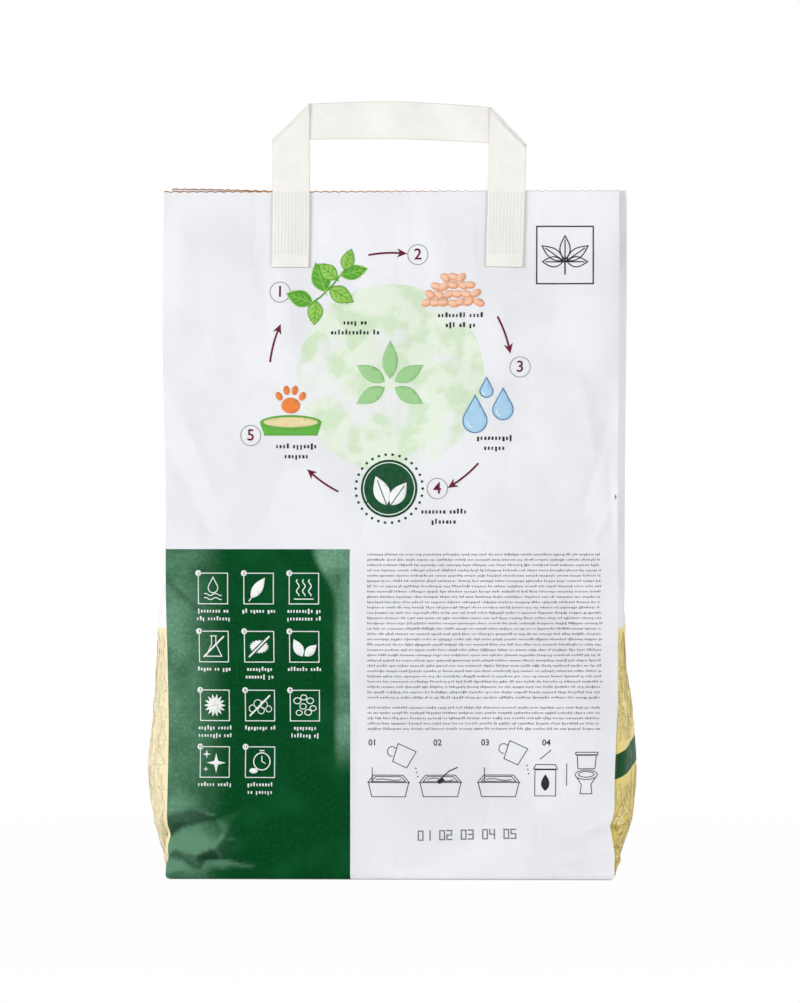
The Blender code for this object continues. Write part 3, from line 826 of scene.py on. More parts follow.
def add_piece(name, bm, materials):
    """Turn a bmesh into a piece that rides on the bag."""
    mesh = bpy.data.meshes.new(name)
    bm.to_mesh(mesh)
    bm.free()
    for material in materials:
        mesh.materials.append(material)
    mesh.shade_smooth()
    piece = bpy.data.objects.new(name, mesh)
    bpy.context.scene.collection.objects.link(piece)
    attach(piece, "root")
    return piece


def of_kind(items, kind):
    """The vertices, edges or faces among what an operator made."""
    return [item for item in items if isinstance(item, kind)]


def wrap_columns(form):
    """Places round the sack, zone by zone, and the first one again to close the ring."""
    columns = []
    counts = (NEAR_COLUMNS, GUSSET_COLUMNS, FAR_COLUMNS, GUSSET_COLUMNS)
    for zone, count in enumerate(counts):
        start, length = form.zone_starts[zone], form.zone_lengths[zone]
        columns += [(zone, start + length * i / count) for i in range(count + 1)]
    return columns + [columns[0]]


def wrap_rows(form):
    """Heights of the wrap's rows, from the rounded base edge to just under the torn band."""
    rows = [0.0, BASE_EDGE_STEP * BASE_EDGE_RADIUS, BASE_EDGE_RADIUS]
    for end, step in ROW_STEPS:
        first = rows[-1]
        count = round((end - first) / step)
        rows += [first + (end - first) * (i + 1) / count for i in range(count)]
    rise = form.height - rows[-1]
    return rows + [rows[-1] + rise * share for share in LAST_ROW_SHARES]


def torn_band(x):
    """How much bare kraft shows below the cut edge."""
    share = smooth(TORN_FADE_START, TORN_FADE_END, x)
    return TORN_BAND_LEFT + (TORN_BAND_RIGHT - TORN_BAND_LEFT) * share


def lip_inside(form, zone, s, point):
    """The inner side of the paper at the top edge, beside an outer point of it."""
    t = 2.0 * (s - form.zone_starts[zone]) / form.zone_lengths[zone] - 1.0
    at_corner = smooth(LIP_CORNER, 1.0, abs(t))
    inner = point.copy()
    if zone in (0, 2):
        inner.y += PAPER_THICKNESS * (1 if zone == 0 else -1)
        inner.x -= PAPER_THICKNESS * math.copysign(at_corner, point.x)
        return inner
    if zone == 3:
        t = -t
    side = 1 if zone == 1 else -1
    off_middle = smooth(0.0, LIP_MIDDLE, abs(t))
    inner.y += PAPER_THICKNESS * math.copysign(off_middle, t)
    inner.x -= side * PAPER_THICKNESS * (1.0 - off_middle)
    inner.x -= side * PAPER_THICKNESS * at_corner
    return inner


def rim_key(point):
    """What finds the inside of the paper again for a point of its top edge."""
    return round(point.x, 6), round(point.y, 6)


def build_wrap(form):
    """The sheet of paper as a grid, bent round the filling, closed below and open at its lips."""
    columns, rows = wrap_columns(form), wrap_rows(form)
    last_column, top_row = len(columns) - 1, len(rows)
    bm = bmesh.new()
    bmesh.ops.create_grid(bm, x_segments=last_column, y_segments=top_row, size=1.0)
    sheet = bm.loops.layers.uv.new("flat_sheet")
    tops = [form.point(zone, s, form.height) for zone, s in columns]
    edges = [form.edge_height(top) for top in tops]
    bands = [torn_band(top.x) for top in tops]
    places, rim = {}, []
    for vert in bm.verts:
        column = round(0.5 * (vert.co.x + 1.0) * last_column)
        row = round(0.5 * (vert.co.y + 1.0) * top_row)
        zone, s = columns[column]
        z = edges[column]
        if row == top_row:
            rim.append(vert)
        else:
            rise = edges[column] - bands[column] - form.height
            z = rows[row] + rise * smooth(form.height - TOOTHED_BAND, form.height, rows[row])
        places[vert] = (zone, s, z)
    girth = form.zone_starts[3] + form.depth
    for face in bm.faces:
        middle = face.calc_center_median()
        closing = middle.x > 1.0 - 1.5 / last_column
        if middle.y > 1.0 - 1.5 / top_row:
            face.material_index = 1
        for loop in face.loops:
            _, s, z = places[loop.vert]
            loop[sheet].uv = (girth if closing and s < 0.0 else s, z)
    for vert in bm.verts:
        vert.co = form.point(*places[vert])
    insides = {rim_key(vert.co): lip_inside(form, *places[vert][:2], vert.co) for vert in rim}
    bmesh.ops.remove_doubles(bm, verts=bm.verts[:], dist=1e-6)
    return bm, insides


def close_lips(bm, form, insides):
    """The cut edge's thickness, the inner sides of the lips, and where they are pasted shut."""
    rim = [edge for edge in bm.edges if edge.is_boundary and edge.verts[0].co.z > 0.5 * form.height]
    for going_down in (False, True):
        made = bmesh.ops.extrude_edge_only(bm, edges=rim)["geom"]
        for vert in of_kind(made, bmesh.types.BMVert):
            if going_down:
                open_share = 1.0 - smooth(0.0, FAR_LIP_LENGTH, vert.co.x + form.half)
                vert.co.z = form.height - PASTE_DROP - LIP_POCKET_DEPTH * open_share
            else:
                vert.co = insides[rim_key(vert.co)]
        for face in of_kind(made, bmesh.types.BMFace):
            face.material_index = 1
        rim = [edge for edge in of_kind(made, bmesh.types.BMEdge) if edge.is_boundary]
    for face in bmesh.ops.contextual_create(bm, geom=rim)["faces"]:
        face.material_index = 1
    foot = [edge for edge in bm.edges if edge.is_boundary]
    bmesh.ops.contextual_create(bm, geom=foot)
    caps = [face for face in bm.faces if len(face.verts) > 4]
    bmesh.ops.triangulate(bm, faces=caps, ngon_method="EAR_CLIP")
    bmesh.ops.recalc_face_normals(bm, faces=bm.faces[:])


def mark_creases(mesh):
    """Where the paper turns sharply, its ink is marked: ridges wear pale with a painted sheen,
    facets that face up get a painted highlight, and valleys, facets that face down and the two
    pinches get painted shade."""
    bm = bmesh.new()
    bm.from_mesh(mesh)
    wear_and_highlight, dark = {}, {}
    for vert in bm.verts:
        if vert.co.y > MARKED_BACK or not MARKED_LOW < vert.co.z < MARKED_HIGH:
            continue
        turns = [e.calc_face_angle_signed(0.0) for e in vert.link_edges if len(e.link_faces) == 2]
        ridge = RIDGE_WEAR_AND_SHEEN * smooth(*RIDGE_TURN, max(turns, default=0.0))
        wear_and_highlight[vert] = max(ridge, UPWARD_HIGHLIGHT * smooth(*UPWARD_LEAN, vert.normal.z))
        shades = [smooth(*VALLEY_TURN, -min(turns, default=0.0))]
        if abs(vert.normal.x) < SIDEWAYS_LEAN:
            shades.append(DOWNWARD_SHADE * smooth(*DOWNWARD_LEAN, -vert.normal.z))
        if vert.co.y < PINCH_FRONT:
            across, up = vert.co.x / MM, vert.co.z / MM
            shades += [hump(0.0, reach, math.hypot(across - x, PINCH_FLATNESS * (up - z)))
                       for x, z, reach in PINCH_SPOTS]
        dark[vert] = max(shades)
    for name, marks in (("crease_rub", wear_and_highlight), ("crease_shade", dark)):
        layer = mesh.attributes.new(name, "FLOAT", "POINT")
        for vert, mark in marks.items():
            around = [marks.get(edge.other_vert(vert), 0.0) for edge in vert.link_edges]
            softened = (1.0 - SOFTENING) * mark + SOFTENING * sum(around) / len(around)
            layer.data[vert.index].value = softened
    bm.free()


class LITTERBAG_OT_paper_sack(bpy.types.Operator):
    """Wrap, fold and close the printed paper sack"""

    bl_idname = "litter_bag.paper_sack"
    bl_label = "Paper Sack"

    def execute(self, context):
        form = SackForm(context.scene.bag_sizes)
        if abs(SACK_TOP.z - form.height) > FAR_LIP_RISE + TOOTH_DEPTH:
            raise RuntimeError("the sack's height doesn't match its solid")
        bm, insides = build_wrap(form)
        close_lips(bm, form, insides)
        colours = context.scene.paper_colours
        materials = [printed_paper(colours, form), bare_kraft(colours)]
        sack = add_piece("printed_paper_sack", bm, materials)
        mark_creases(sack.data)
        sack.data.set_sharp_from_angle(angle=SHARP_FOLD)
        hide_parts("paper_sack")
        return {"FINISHED"}


# The handle

def tape_place(form, x, z, layer, lift=0.0):
    """A point of the tape: layer 0 lies on the near panel, layer 1 is folded over behind it."""
    s = x * form.half / form.fold_x(math.copysign(1.0, x), z)
    seat = form.panel_point(-1, s, min(z, form.height)).y
    y = seat - SEAT_GAP - 0.5 * TAPE_THICKNESS + 2.0 * TAPE_FOLD_RADIUS * layer - lift
    return Vector((x, y, z))


def crease_points(corner, before, after, side, offsets):
    """Where the lines along the tape meet its crease at a corner, in the panel's plane.

    A strip turned over along a crease leaves in the direction that the crease mirrors it to.
    Returns the points, the direction away from the handle's inside, and the tape's new side."""
    crease = (before + after).normalized()
    out = Vector((crease.y, -crease.x))
    if out.dot(before) < 0.0:
        out = -out
    points = [corner + crease * (q / crease.dot(side)) for q in offsets]
    return points, out, 2.0 * crease.dot(side) * crease - side


def rib_lift(q, along):
    """The glue ribs pressed through the pasted end of the tape, dotted along their length."""
    inside = smooth(0.0, RIB_TAPER, along - RIB_START)
    inside *= 1.0 - smooth(RIB_FADE_START, RIB_FADE_END, along)
    inside *= 1.0 - smooth(RIB_SIDE_START, RIB_SIDE_END, abs(q))
    rib = 0.5 + 0.5 * math.cos(2.0 * math.pi * q / RIB_PITCH)
    dot = 0.65 + 0.35 * math.cos(2.0 * math.pi * along / RIB_DOT_PITCH)
    return RIB_HEIGHT * inside * rib * dot


def tape_rows(form, sizes, offsets):
    """The lines across the tape, from the end of its left tail to the end of its right one."""
    left_x = HANDLE_OFFSET - 0.5 * sizes.handle_span
    right_x = HANDLE_OFFSET + 0.5 * sizes.handle_span
    foot_z = form.height - TAIL_LENGTH
    corner_z = form.height + sizes.handle_rise - 0.5 * sizes.tape_width
    left_foot, left_corner = Vector((left_x, foot_z)), Vector((left_x, corner_z))
    right_corner = Vector((right_x + HANDLE_LEAN, corner_z - RIGHT_CORNER_DROP))
    right_foot = Vector((right_x, foot_z))
    up = (left_corner - left_foot).normalized()
    across = (right_corner - left_corner).normalized()
    down = (right_foot - right_corner).normalized()
    side = Vector((up.y, -up.x))
    foot = [left_foot + side * q for q in offsets]
    left_crease, left_out, side = crease_points(left_corner, up, across, side, offsets)
    right_crease, right_out, side = crease_points(right_corner, across, down, side, offsets)
    end = [right_foot + side * q for q in offsets]

    def leg(first, last, shares):
        """Rows along a leg, with the ribs of its pasted end."""
        for share in shares:
            points = [a.lerp(b, share) for a, b in zip(first, last)]
            yield [tape_place(form, p.x, p.y, 0.0, rib_lift(q, p.y - foot_z))
                   for q, p in zip(offsets, points)]

    tail = TAIL_LENGTH / (corner_z - foot_z)
    rising = [tail * i / TAIL_ROWS for i in range(TAIL_ROWS)]
    rising += [tail + (1.0 - tail) * i / LEG_ROWS for i in range(LEG_ROWS)]
    falling = [1.0 - share for share in rising[::-1]]
    rows = list(leg(foot, left_crease, rising))
    rows += fold_rows(form, left_crease, left_out, 0.0)
    for i in range(1, TOP_RUN_ROWS):
        share = i / TOP_RUN_ROWS
        bend = math.sin(math.pi * share)
        rise = Vector((0.0, 0.0, HANDLE_ARCH * bend))
        wave = TOP_RUN_WAVE * bend * math.sin(2.0 * math.pi * TOP_RUN_WAVES * share)
        points = [a.lerp(b, share) for a, b in zip(left_crease, right_crease)]
        rows.append([tape_place(form, p.x, p.y, 1.0, wave) + rise for p in points])
    rows += fold_rows(form, right_crease, right_out, 1.0)
    rows += leg(right_crease, end, falling[:-1] + [1.0])
    return rows


def fold_rows(form, points, out, first_layer):
    """Rows round a crease, from one layer of the tape to the other."""
    rows = []
    for i in range(FOLD_ROWS + 1):
        angle = math.pi * i / FOLD_ROWS
        layer = abs(first_layer - (0.5 - 0.5 * math.cos(angle)))
        row = [p + out * TAPE_FOLD_RADIUS * math.sin(angle) for p in points]
        rows.append([tape_place(form, p.x, p.y, layer) for p in row])
    return rows


class LITTERBAG_OT_carry_handle(bpy.types.Operator):
    """Fold the flat paper tape into the carry handle"""

    bl_idname = "litter_bag.carry_handle"
    bl_label = "Carry Handle"

    def execute(self, context):
        sizes = context.scene.bag_sizes
        form = SackForm(sizes)
        offsets = [sizes.tape_width * (j / TAPE_COLUMNS - 0.5) for j in range(TAPE_COLUMNS + 1)]
        rows = tape_rows(form, sizes, offsets)
        bm = bmesh.new()
        bmesh.ops.create_grid(bm, x_segments=TAPE_COLUMNS, y_segments=len(rows) - 1, size=1.0)
        flat = bm.loops.layers.uv.new("flat_tape")
        lengths = [0.0]
        middle = TAPE_COLUMNS // 2
        for before, after in zip(rows, rows[1:]):
            lengths.append(lengths[-1] + (after[middle] - before[middle]).length)
        leg_rows = TAIL_ROWS + LEG_ROWS
        foot_z = form.height - TAIL_LENGTH
        places = {}
        for vert in bm.verts:
            column = round(0.5 * (vert.co.x + 1.0) * TAPE_COLUMNS)
            row = round(0.5 * (vert.co.y + 1.0) * (len(rows) - 1))
            vert.co = rows[row][column]
            in_leg = row < leg_rows or row >= len(rows) - leg_rows
            along = vert.co.z - foot_z if in_leg else TOP_RUN_START + lengths[row]
            places[vert] = (offsets[column], along)
        for face in bm.faces:
            for loop in face.loops:
                loop[flat].uv = places[loop.vert]
        colours = context.scene.paper_colours
        handle = add_piece("folded_tape_handle", bm, [paper_tape(colours), tape_cut_edge(colours)])
        wall = handle.modifiers.new("tape_thickness", "SOLIDIFY")
        wall.thickness = TAPE_THICKNESS
        wall.offset = 0.0
        wall.use_even_offset = True
        wall.material_offset_rim = 1
        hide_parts("carry_handle")
        return {"FINISHED"}


# Artwork

class PaperSurface:
    """The finished sack's outside, found from places on its flat sheet."""

    def __init__(self):
        sack = bpy.data.objects.get("printed_paper_sack")
        if sack is None:
            raise RuntimeError("the print needs the paper sack to lie on")
        mesh = sack.data
        mesh.calc_loop_triangles()
        sheet = mesh.uv_layers["flat_sheet"].uv
        self.flat, self.solid, self.normals = [], [], []
        for triangle in mesh.loop_triangles:
            if triangle.material_index == 0:
                self.flat += [sheet[corner].vector.to_3d() for corner in triangle.loops]
                self.solid += [mesh.vertices[i].co.copy() for i in triangle.vertices]
                self.normals += [mesh.vertices[i].normal.copy() for i in triangle.vertices]
        triangles = [(i, i + 1, i + 2) for i in range(0, len(self.flat), 3)]
        self.tree = BVHTree.FromPolygons(self.flat, triangles)

    def place(self, s, z, lift):
        """The point over the paper at s and z."""
        spot, _, index, _ = self.tree.find_nearest(Vector((s, z, 0.0)))
        corners = slice(3 * index, 3 * index + 3)
        flat = self.flat[corners]
        point = geometry.barycentric_transform(spot, *flat, *self.solid[corners])
        normal = geometry.barycentric_transform(spot, *flat, *self.normals[corners])
        return point + normal.normalized() * lift


SURFACES = []


def paper_surface():
    """The sack's outside, worked out once."""
    if not SURFACES:
        SURFACES.append(PaperSurface())
    return SURFACES[0]


def moved(points, x, y):
    """Points set out from another place."""
    return [(x + a, y + b) for a, b in points]


def turned(points, angle):
    """Points turned about their origin."""
    c, s = math.cos(angle), math.sin(angle)
    return [(c * a - s * b, s * a + c * b) for a, b in points]


def arc(x, y, radius, start, end, tall=1.0):
    """Points along a circle, from start to end in degrees, without the closing one."""
    closed = end - start >= 360.0
    count = max(4, math.ceil(abs(end - start) / 12.0))
    total = count if closed else count + 1
    angles = [math.radians(start + (end - start) * i / count) for i in range(total)]
    return [(x + radius * math.cos(a), y + tall * radius * math.sin(a)) for a in angles]


def drop_outline(x, y, size):
    """A water drop, round below and pointed above."""
    return moved(arc(0.0, 0.0, 0.5 * size, 150.0, 390.0) + [(0.0, 1.05 * size)], x, y)


def face_extent(face, axis):
    """How far a face reaches along an axis."""
    values = [vert.co[axis] for vert in face.verts]
    return max(values) - min(values)


def cut_along(bm, axis):
    """Cut the large faces at even steps along an axis, so that they can follow the paper."""
    large = [face for face in bm.faces if face_extent(face, axis) > DRAPE_STEP]
    if not large:
        return
    verts = {vert for face in large for vert in face.verts}
    values = [vert.co[axis] for vert in verts]
    first, last = math.ceil(min(values) / DRAPE_STEP), math.floor(max(values) / DRAPE_STEP)
    normal = Vector((1.0 - axis, axis, 0.0))
    geom = large + list({edge for face in large for edge in face.edges}) + list(verts)
    for i in range(first, last + 1):
        geom = bmesh.ops.bisect_plane(bm, geom=geom, dist=1e-5, plane_co=normal * DRAPE_STEP * i,
                                      plane_no=normal)["geom"]


class Artwork:
    """Shapes of ink, drawn flat on the unfolded sheet in mm and then laid on the sack."""

    def __init__(self, context, surface):
        self.colours = context.scene.ink_colours
        self.surface = surface
        self.bm = bmesh.new()
        self.inks = []
        self.drawn = []

    def set_aside(self, at_least=0):
        """Keep what has been drawn as a mesh, so that each next shape starts small and quick."""
        if len(self.bm.faces) > at_least:
            mesh = bpy.data.meshes.new("drawn")
            self.bm.to_mesh(mesh)
            self.drawn.append(mesh)
            self.bm.clear()

    def finish_faces(self, faces, ink, layer):
        """Give new faces their ink and their layer."""
        if ink not in self.inks:
            self.inks.append(ink)
        index = self.inks.index(ink)
        for face in faces:
            face.material_index = index
            for vert in face.verts:
                vert.co.z = layer
            face.normal_update()
            if face.normal.z < 0.0:
                face.normal_flip()
        self.set_aside(FACES_AT_ONCE)

    def shape(self, points, ink, layer=0):
        """A filled outline."""
        verts = [self.bm.verts.new((x, y, 0.0)) for x, y in points]
        self.finish_faces([self.bm.faces.new(verts)], ink, layer)

    def disc(self, x, y, radius, ink, layer=0, tall=1.0, turn=0.0, segments=28):
        """A filled circle, or an ellipse where tall isn't 1."""
        matrix = Matrix.Translation((x, y, 0.0)) @ Matrix.Rotation(turn, 4, "Z")
        matrix @= Matrix.Diagonal((1.0, tall, 1.0, 1.0))
        made = bmesh.ops.create_circle(self.bm, cap_ends=True, segments=segments, radius=radius,
                                       matrix=matrix)
        self.finish_faces({f for v in made["verts"] for f in v.link_faces}, ink, layer)

    def stroke(self, points, width, ink, layer=1, closed=False):
        """A line of even width: its left edge, extruded across to its right one."""
        line = [Vector(p) for p in points]
        count = len(line)
        shifts = []
        for i, point in enumerate(line):
            before = line[i - 1] if closed or i else None
            after = line[(i + 1) % count] if closed or i < count - 1 else None
            ways = [(b - a).normalized() for a, b in ((before, point), (point, after)) if a and b]
            normals = [Vector((-way.y, way.x)) for way in ways]
            mean = sum(normals, Vector((0.0, 0.0))).normalized()
            shifts.append(mean * (0.5 * width / max(mean.dot(normals[0]), SHARPEST_MITRE)))
        verts = [self.bm.verts.new((*(p + shift), 0.0)) for p, shift in zip(line, shifts)]
        pairs = list(zip(verts, verts[1:])) + ([(verts[-1], verts[0])] if closed else [])
        edges = [self.bm.edges.new(pair) for pair in pairs]
        made = bmesh.ops.extrude_edge_only(self.bm, edges=edges)["geom"]
        back = dict(zip(verts, shifts))
        for vert in of_kind(made, bmesh.types.BMVert):
            start = next(e.other_vert(vert) for e in vert.link_edges if e.other_vert(vert) in back)
            vert.co -= 2.0 * back[start].to_3d()
        self.finish_faces(of_kind(made, bmesh.types.BMFace), ink, layer)

    def ring(self, x, y, radius, width, ink, layer=1, tall=1.0, start=0.0, end=360.0):
        """A circular line, or an arc of one, in degrees from +s."""
        self.stroke(arc(x, y, radius, start, end, tall), width, ink, layer, end - start >= 360.0)

    def leaf(self, x, y, length, width, turn, ink, line_ink=None, layer=0, line=0.35, veins=0,
             steps=9):
        """A pointed leaf from its foot. A line ink adds its midrib and side veins, and its
        outline too where it has veins or no filling."""
        way = Vector((math.cos(turn), math.sin(turn)))
        side = Vector((-way.y, way.x))
        foot = Vector((x, y))
        shares = [i / steps for i in range(steps + 1)]
        edge = [(length * share, 0.5 * width * math.sin(math.pi * share ** LEAF_BULGE))
                for share in shares]
        outline = [foot + way * a + side * b for a, b in edge]
        outline += [foot + way * a - side * b for a, b in edge[-2:0:-1]]
        if ink:
            self.shape(outline, ink, layer)
        if line_ink is None:
            return
        if veins or not ink:
            self.stroke(outline, line, line_ink, layer + 1, closed=True)
        midrib = [foot - way * LEAF_STALK * length, foot + way * LEAF_MIDRIB * length]
        self.stroke(midrib, line, line_ink, layer + 1)
        for i in range(veins):
            start = foot + way * (i + 1.0) / (veins + 1.5) * length
            for hand in (-1, 1):
                tip = start + way * VEIN_RUN * length + side * hand * VEIN_REACH * width
                self.stroke([start, tip], VEIN_LINE * line, line_ink, layer + 1)

    def words(self, x, y, width, ink, rng, height=1.1, align=0.0, mean=5.0, layer=0):
        """A line of plain upright bars where small print stands; align 0 left, 0.5 centred."""
        pitch = BAR_PITCH * height
        bars = []
        at = 0.0
        while at < width - pitch:
            letters = max(2, min(round(mean * rng.uniform(*WORD_LENGTHS)), int((width - at) / pitch)))
            for _ in range(letters):
                low, high = rng.choice(BAR_FEET), rng.choice(BAR_TOPS)
                bars.append((at, rng.uniform(*BAR_WIDTHS) * pitch, low * height, high * height))
                at += pitch
            at += WORD_GAP * pitch
        start = x - align * (bars[-1][0] + bars[-1][1])
        for place, wide, low, high in bars:
            left, right = start + place, start + place + wide
            corners = ((left, low), (right, low), (right, high), (left, high))
            self.shape(moved(corners, 0.0, y - 0.35 * height), ink, layer)

    def number(self, text, x, y, size, ink, layer=1):
        """A plain number, made a mesh and centred on a place."""
        curve = bpy.data.curves.new("number", "FONT")
        curve.body = text
        curve.size = size
        curve.align_x, curve.align_y = "CENTER", "CENTER"
        curve.resolution_u = 4
        curve.offset = NUMBER_WEIGHT * size
        holder = bpy.data.objects.new("number", curve)
        bpy.context.scene.collection.objects.link(holder)
        graph = bpy.context.evaluated_depsgraph_get()
        mesh = bpy.data.meshes.new_from_object(holder.evaluated_get(graph))
        bpy.data.objects.remove(holder, do_unlink=True)
        bpy.data.curves.remove(curve)
        mesh.transform(Matrix.Translation((x, y, 0.0)))
        self.set_aside()
        self.bm.from_mesh(mesh)
        self.finish_faces(self.bm.faces[:], ink, layer)
        bpy.data.meshes.remove(mesh)

    def lay_on_sack(self, name):
        """Cut the shapes fine enough to follow the paper, and put each point just over it."""
        self.set_aside()
        bm = self.bm
        for mesh in self.drawn:
            bm.from_mesh(mesh)
        bpy.data.batch_remove(self.drawn)
        for axis in (0, 1):
            cut_along(bm, axis)
        bmesh.ops.triangulate(bm, faces=[face for face in bm.faces if len(face.verts) > 4])
        for vert in bm.verts:
            lift = (INK_LIFT + INK_LAYER * vert.co.z) * MM
            vert.co = self.surface.place(vert.co.x * MM, vert.co.y * MM, lift)
        materials = [printing_ink(ink, getattr(self.colours, ink)) for ink in self.inks]
        piece = add_piece(name, bm, materials)
        film = piece.modifiers.new("ink_film", "SOLIDIFY")
        film.thickness = INK_THICKNESS * MM
        film.offset = -1.0


# The picture round the pale disc

STATION_RADIUS_X, STATION_RADIUS_Z = 57.0, 60.0
ARROW_RADIUS_X, ARROW_RADIUS_Z, ARROW_STEPS = 66.0, 68.0, 8
STATION_TURNS = (-36.0, 36.0, 108.0, 180.0, 252.0)      # clockwise from the top, in degrees
ARROW_START, ARROW_END = 25.0, 41.0                     # past the station before, in degrees
NUMBER_PLACES = ((-60.0, 316.0), (14.5, 336.5), (70.5, 275.0), (26.5, 209.5), (-76.0, 238.0))
CAPTION_PLACES = ((-19.0, 299.0), (38.0, 303.0), (57.0, 236.5), (30.0, 197.0), (-51.0, 232.0))
CAPTION_WIDTHS, CAPTION_PITCH = (15.0, 20.0, 25.0), 5.4

# Leaves of the sprig: foot, length, width, turn in degrees, and whether it is a young one
SPRIG_LEAVES = (
    (-9, -8, 15, 9, 160, 0), (-7, -7, 13, 8, 265, 1), (-2, -2, 17, 10, 110, 0), (0, 0, 15, 9, 330, 1),
    (4, 5, 13, 8, 140, 1), (6, 7, 15, 8, 15, 0), (8, 10, 12, 7, 72, 1),
)


def station_place(turn, radius_x=STATION_RADIUS_X, radius_z=STATION_RADIUS_Z):
    """A place round the disc, at a clock angle in degrees."""
    angle = math.radians(turn)
    return (DISC_CENTRE[0] + radius_x * math.sin(angle), DISC_CENTRE[1] + radius_z * math.cos(angle))


def draw_sprig(art, x, z):
    """A sprig of round-bellied leaves."""
    art.stroke(moved(((-12, -10), (-5, -5), (2, 2), (8, 10)), x, z), 0.9, "leaf_ink")
    for dx, dz, length, width, turn, young in SPRIG_LEAVES:
        ink, line = ("young_leaf_ink", "leaf_ink") if young else ("leaf_ink", "young_leaf_ink")
        art.leaf(x + dx, z + dz, length, width, math.radians(turn), ink, line, 1 + young, 0.45, 3)


def draw_granules(art, x, z, rng):
    """A heap of short round granules."""
    for row, count in enumerate((7, 6, 5, 3)):
        for i in range(count):
            spot_x = x + (i - 0.5 * (count - 1)) * 4.7 + rng.uniform(-0.6, 0.6)
            spot_z = z - 8 + 4.6 * row + rng.uniform(-0.6, 0.6)
            turn = rng.uniform(-0.7, 0.7)
            art.disc(spot_x, spot_z, 3.2, "deep_peach_ink", row % 2, 0.68, turn, 16)
            art.disc(spot_x - 0.4, spot_z + 0.5, 2.6, "peach_ink", 2 + row % 2, 0.62, turn, 16)


def draw_drops(art, x, z):
    """Three drops of water."""
    for dx, dz, size in ((-8, -5, 13), (7, 1, 11), (-2, 11, 7)):
        outline = drop_outline(x + dx, z + dz, size)
        art.shape(outline, "water_ink", 0)
        art.stroke(outline, 0.55, "deep_water_ink", 1, closed=True)
        art.ring(x + dx, z + dz, 0.32 * size, 0.6, "white_ink", 1, 1.0, 180.0, 250.0)


def draw_badge(art, x, z):
    """A dark green disc with two plain leaves, in a ring of dots."""
    art.disc(x, z, 15.5, "deep_green_ink", 0, segments=48)
    art.ring(x, z, 14.0, 0.5, "white_ink")
    for dx, length, width, turn in ((-1, 17, 9, 112), (1, 15, 8, 55)):
        art.leaf(x + dx, z - 9, length, width, math.radians(turn), "white_ink", "deep_green_ink", 1, 0.5)
    for px, pz in arc(x, z, 18.3, 0.0, 360.0):
        art.disc(px, pz, 0.75, "deep_green_ink", segments=10)


def draw_paw_and_tray(art, x, z):
    """A paw print over an open tray of litter."""
    art.shape(moved(((-17, -6), (17, -6), (14.5, -13), (-14.5, -13)), x, z), "tray_ink", 0)
    art.disc(x, z - 6, 17, "tray_ink", 1, 0.24, segments=36)
    art.disc(x, z - 5.8, 15, "sand_ink", 2, 0.18, segments=36)
    art.disc(x, z + 3.2, 5.2, "orange_ink", 3, 0.82)
    for dx, dz, turn in ((-6.4, 8.2, 0.5), (-2.3, 11.4, 0.15), (2.3, 11.4, -0.15), (6.4, 8.2, -0.5)):
        art.disc(x + dx, z + dz, 1.75, "orange_ink", 3, 1.45, turn, 18)


def draw_disc_leaves(art, x, z):
    """Five soft leaves in the middle of the pale disc."""
    for turn, length in ((90, 21), (150, 18), (30, 18), (210, 18), (330, 18)):
        angle = math.radians(turn)
        foot_x, foot_z = x + 3 * math.cos(angle), z - 4 + 3 * math.sin(angle)
        art.leaf(foot_x, foot_z, length, 8.5, angle, "soft_leaf_ink")


def draw_arrow(art, start, end):
    """A curved arrow round the disc, clockwise between two clock angles."""
    turns = [start + (end - start) * i / ARROW_STEPS for i in range(ARROW_STEPS + 1)]
    line = [station_place(turn, ARROW_RADIUS_X, ARROW_RADIUS_Z) for turn in turns]
    art.stroke(line, 1.05, "maroon_ink")
    tip, back = Vector(line[-1]), Vector(line[-2])
    way = (tip - back).normalized()
    side = Vector((-way.y, way.x))
    barb = tip - way * 2.8
    art.shape([tip + way * 2.6, barb + side * 2.5, tip - way * 1.2, barb - side * 2.5], "maroon_ink", 1)


class LITTERBAG_OT_cycle_print(bpy.types.Operator):
    """Print the ring of numbered pictures round the pale disc"""

    bl_idname = "litter_bag.cycle_print"
    bl_label = "Cycle Print"

    def execute(self, context):
        rng = random.Random(11)
        pictures = Artwork(context, paper_surface())
        draws = (draw_sprig, partial(draw_granules, rng=rng), draw_drops, draw_badge, draw_paw_and_tray)
        for draw, turn in zip(draws, STATION_TURNS):
            draw(pictures, *station_place(turn))
        draw_disc_leaves(pictures, *DISC_CENTRE)
        pictures.lay_on_sack("cycle_pictures")

        marks = Artwork(context, paper_surface())
        for turn in STATION_TURNS:
            draw_arrow(marks, turn + ARROW_START, turn + ARROW_END)
        for index, (x, z) in enumerate(NUMBER_PLACES):
            marks.ring(x, z, 5.5, 0.35, "text_ink")
            marks.number(str(index + 1), x, z, 8.6, "maroon_ink")
        for x, z in CAPTION_PLACES:
            for line, width in enumerate(rng.sample(CAPTION_WIDTHS, 2)):
                marks.words(x, z - CAPTION_PITCH * line, width, "black_ink", rng, 2.5, 0.5, 6.0)
        marks.lay_on_sack("cycle_arrows_and_numbers")
        return {"FINISHED"}


# The pictograms on the green block

ICON_COLUMNS = (-97.2, -71.7, -46.5)
ICON_ROWS = (156.0, 124.9, 93.4, 63.0)
ICON_HALF = 8.2
SQUARE = ((-1, -1), (1, -1), (1, 1), (-1, 1))


def white_line(art, x, z, points, width=0.5, closed=False, layer=0):
    """A white line of a pictogram, round its middle."""
    art.stroke(moved(points, x, z), width, "white_ink", layer, closed)


def slash(art, x, z):
    """The stroke that crosses a pictogram out."""
    white_line(art, x, z, ((-5.8, -5.6), (5.8, 5.6)), 0.9, layer=2)


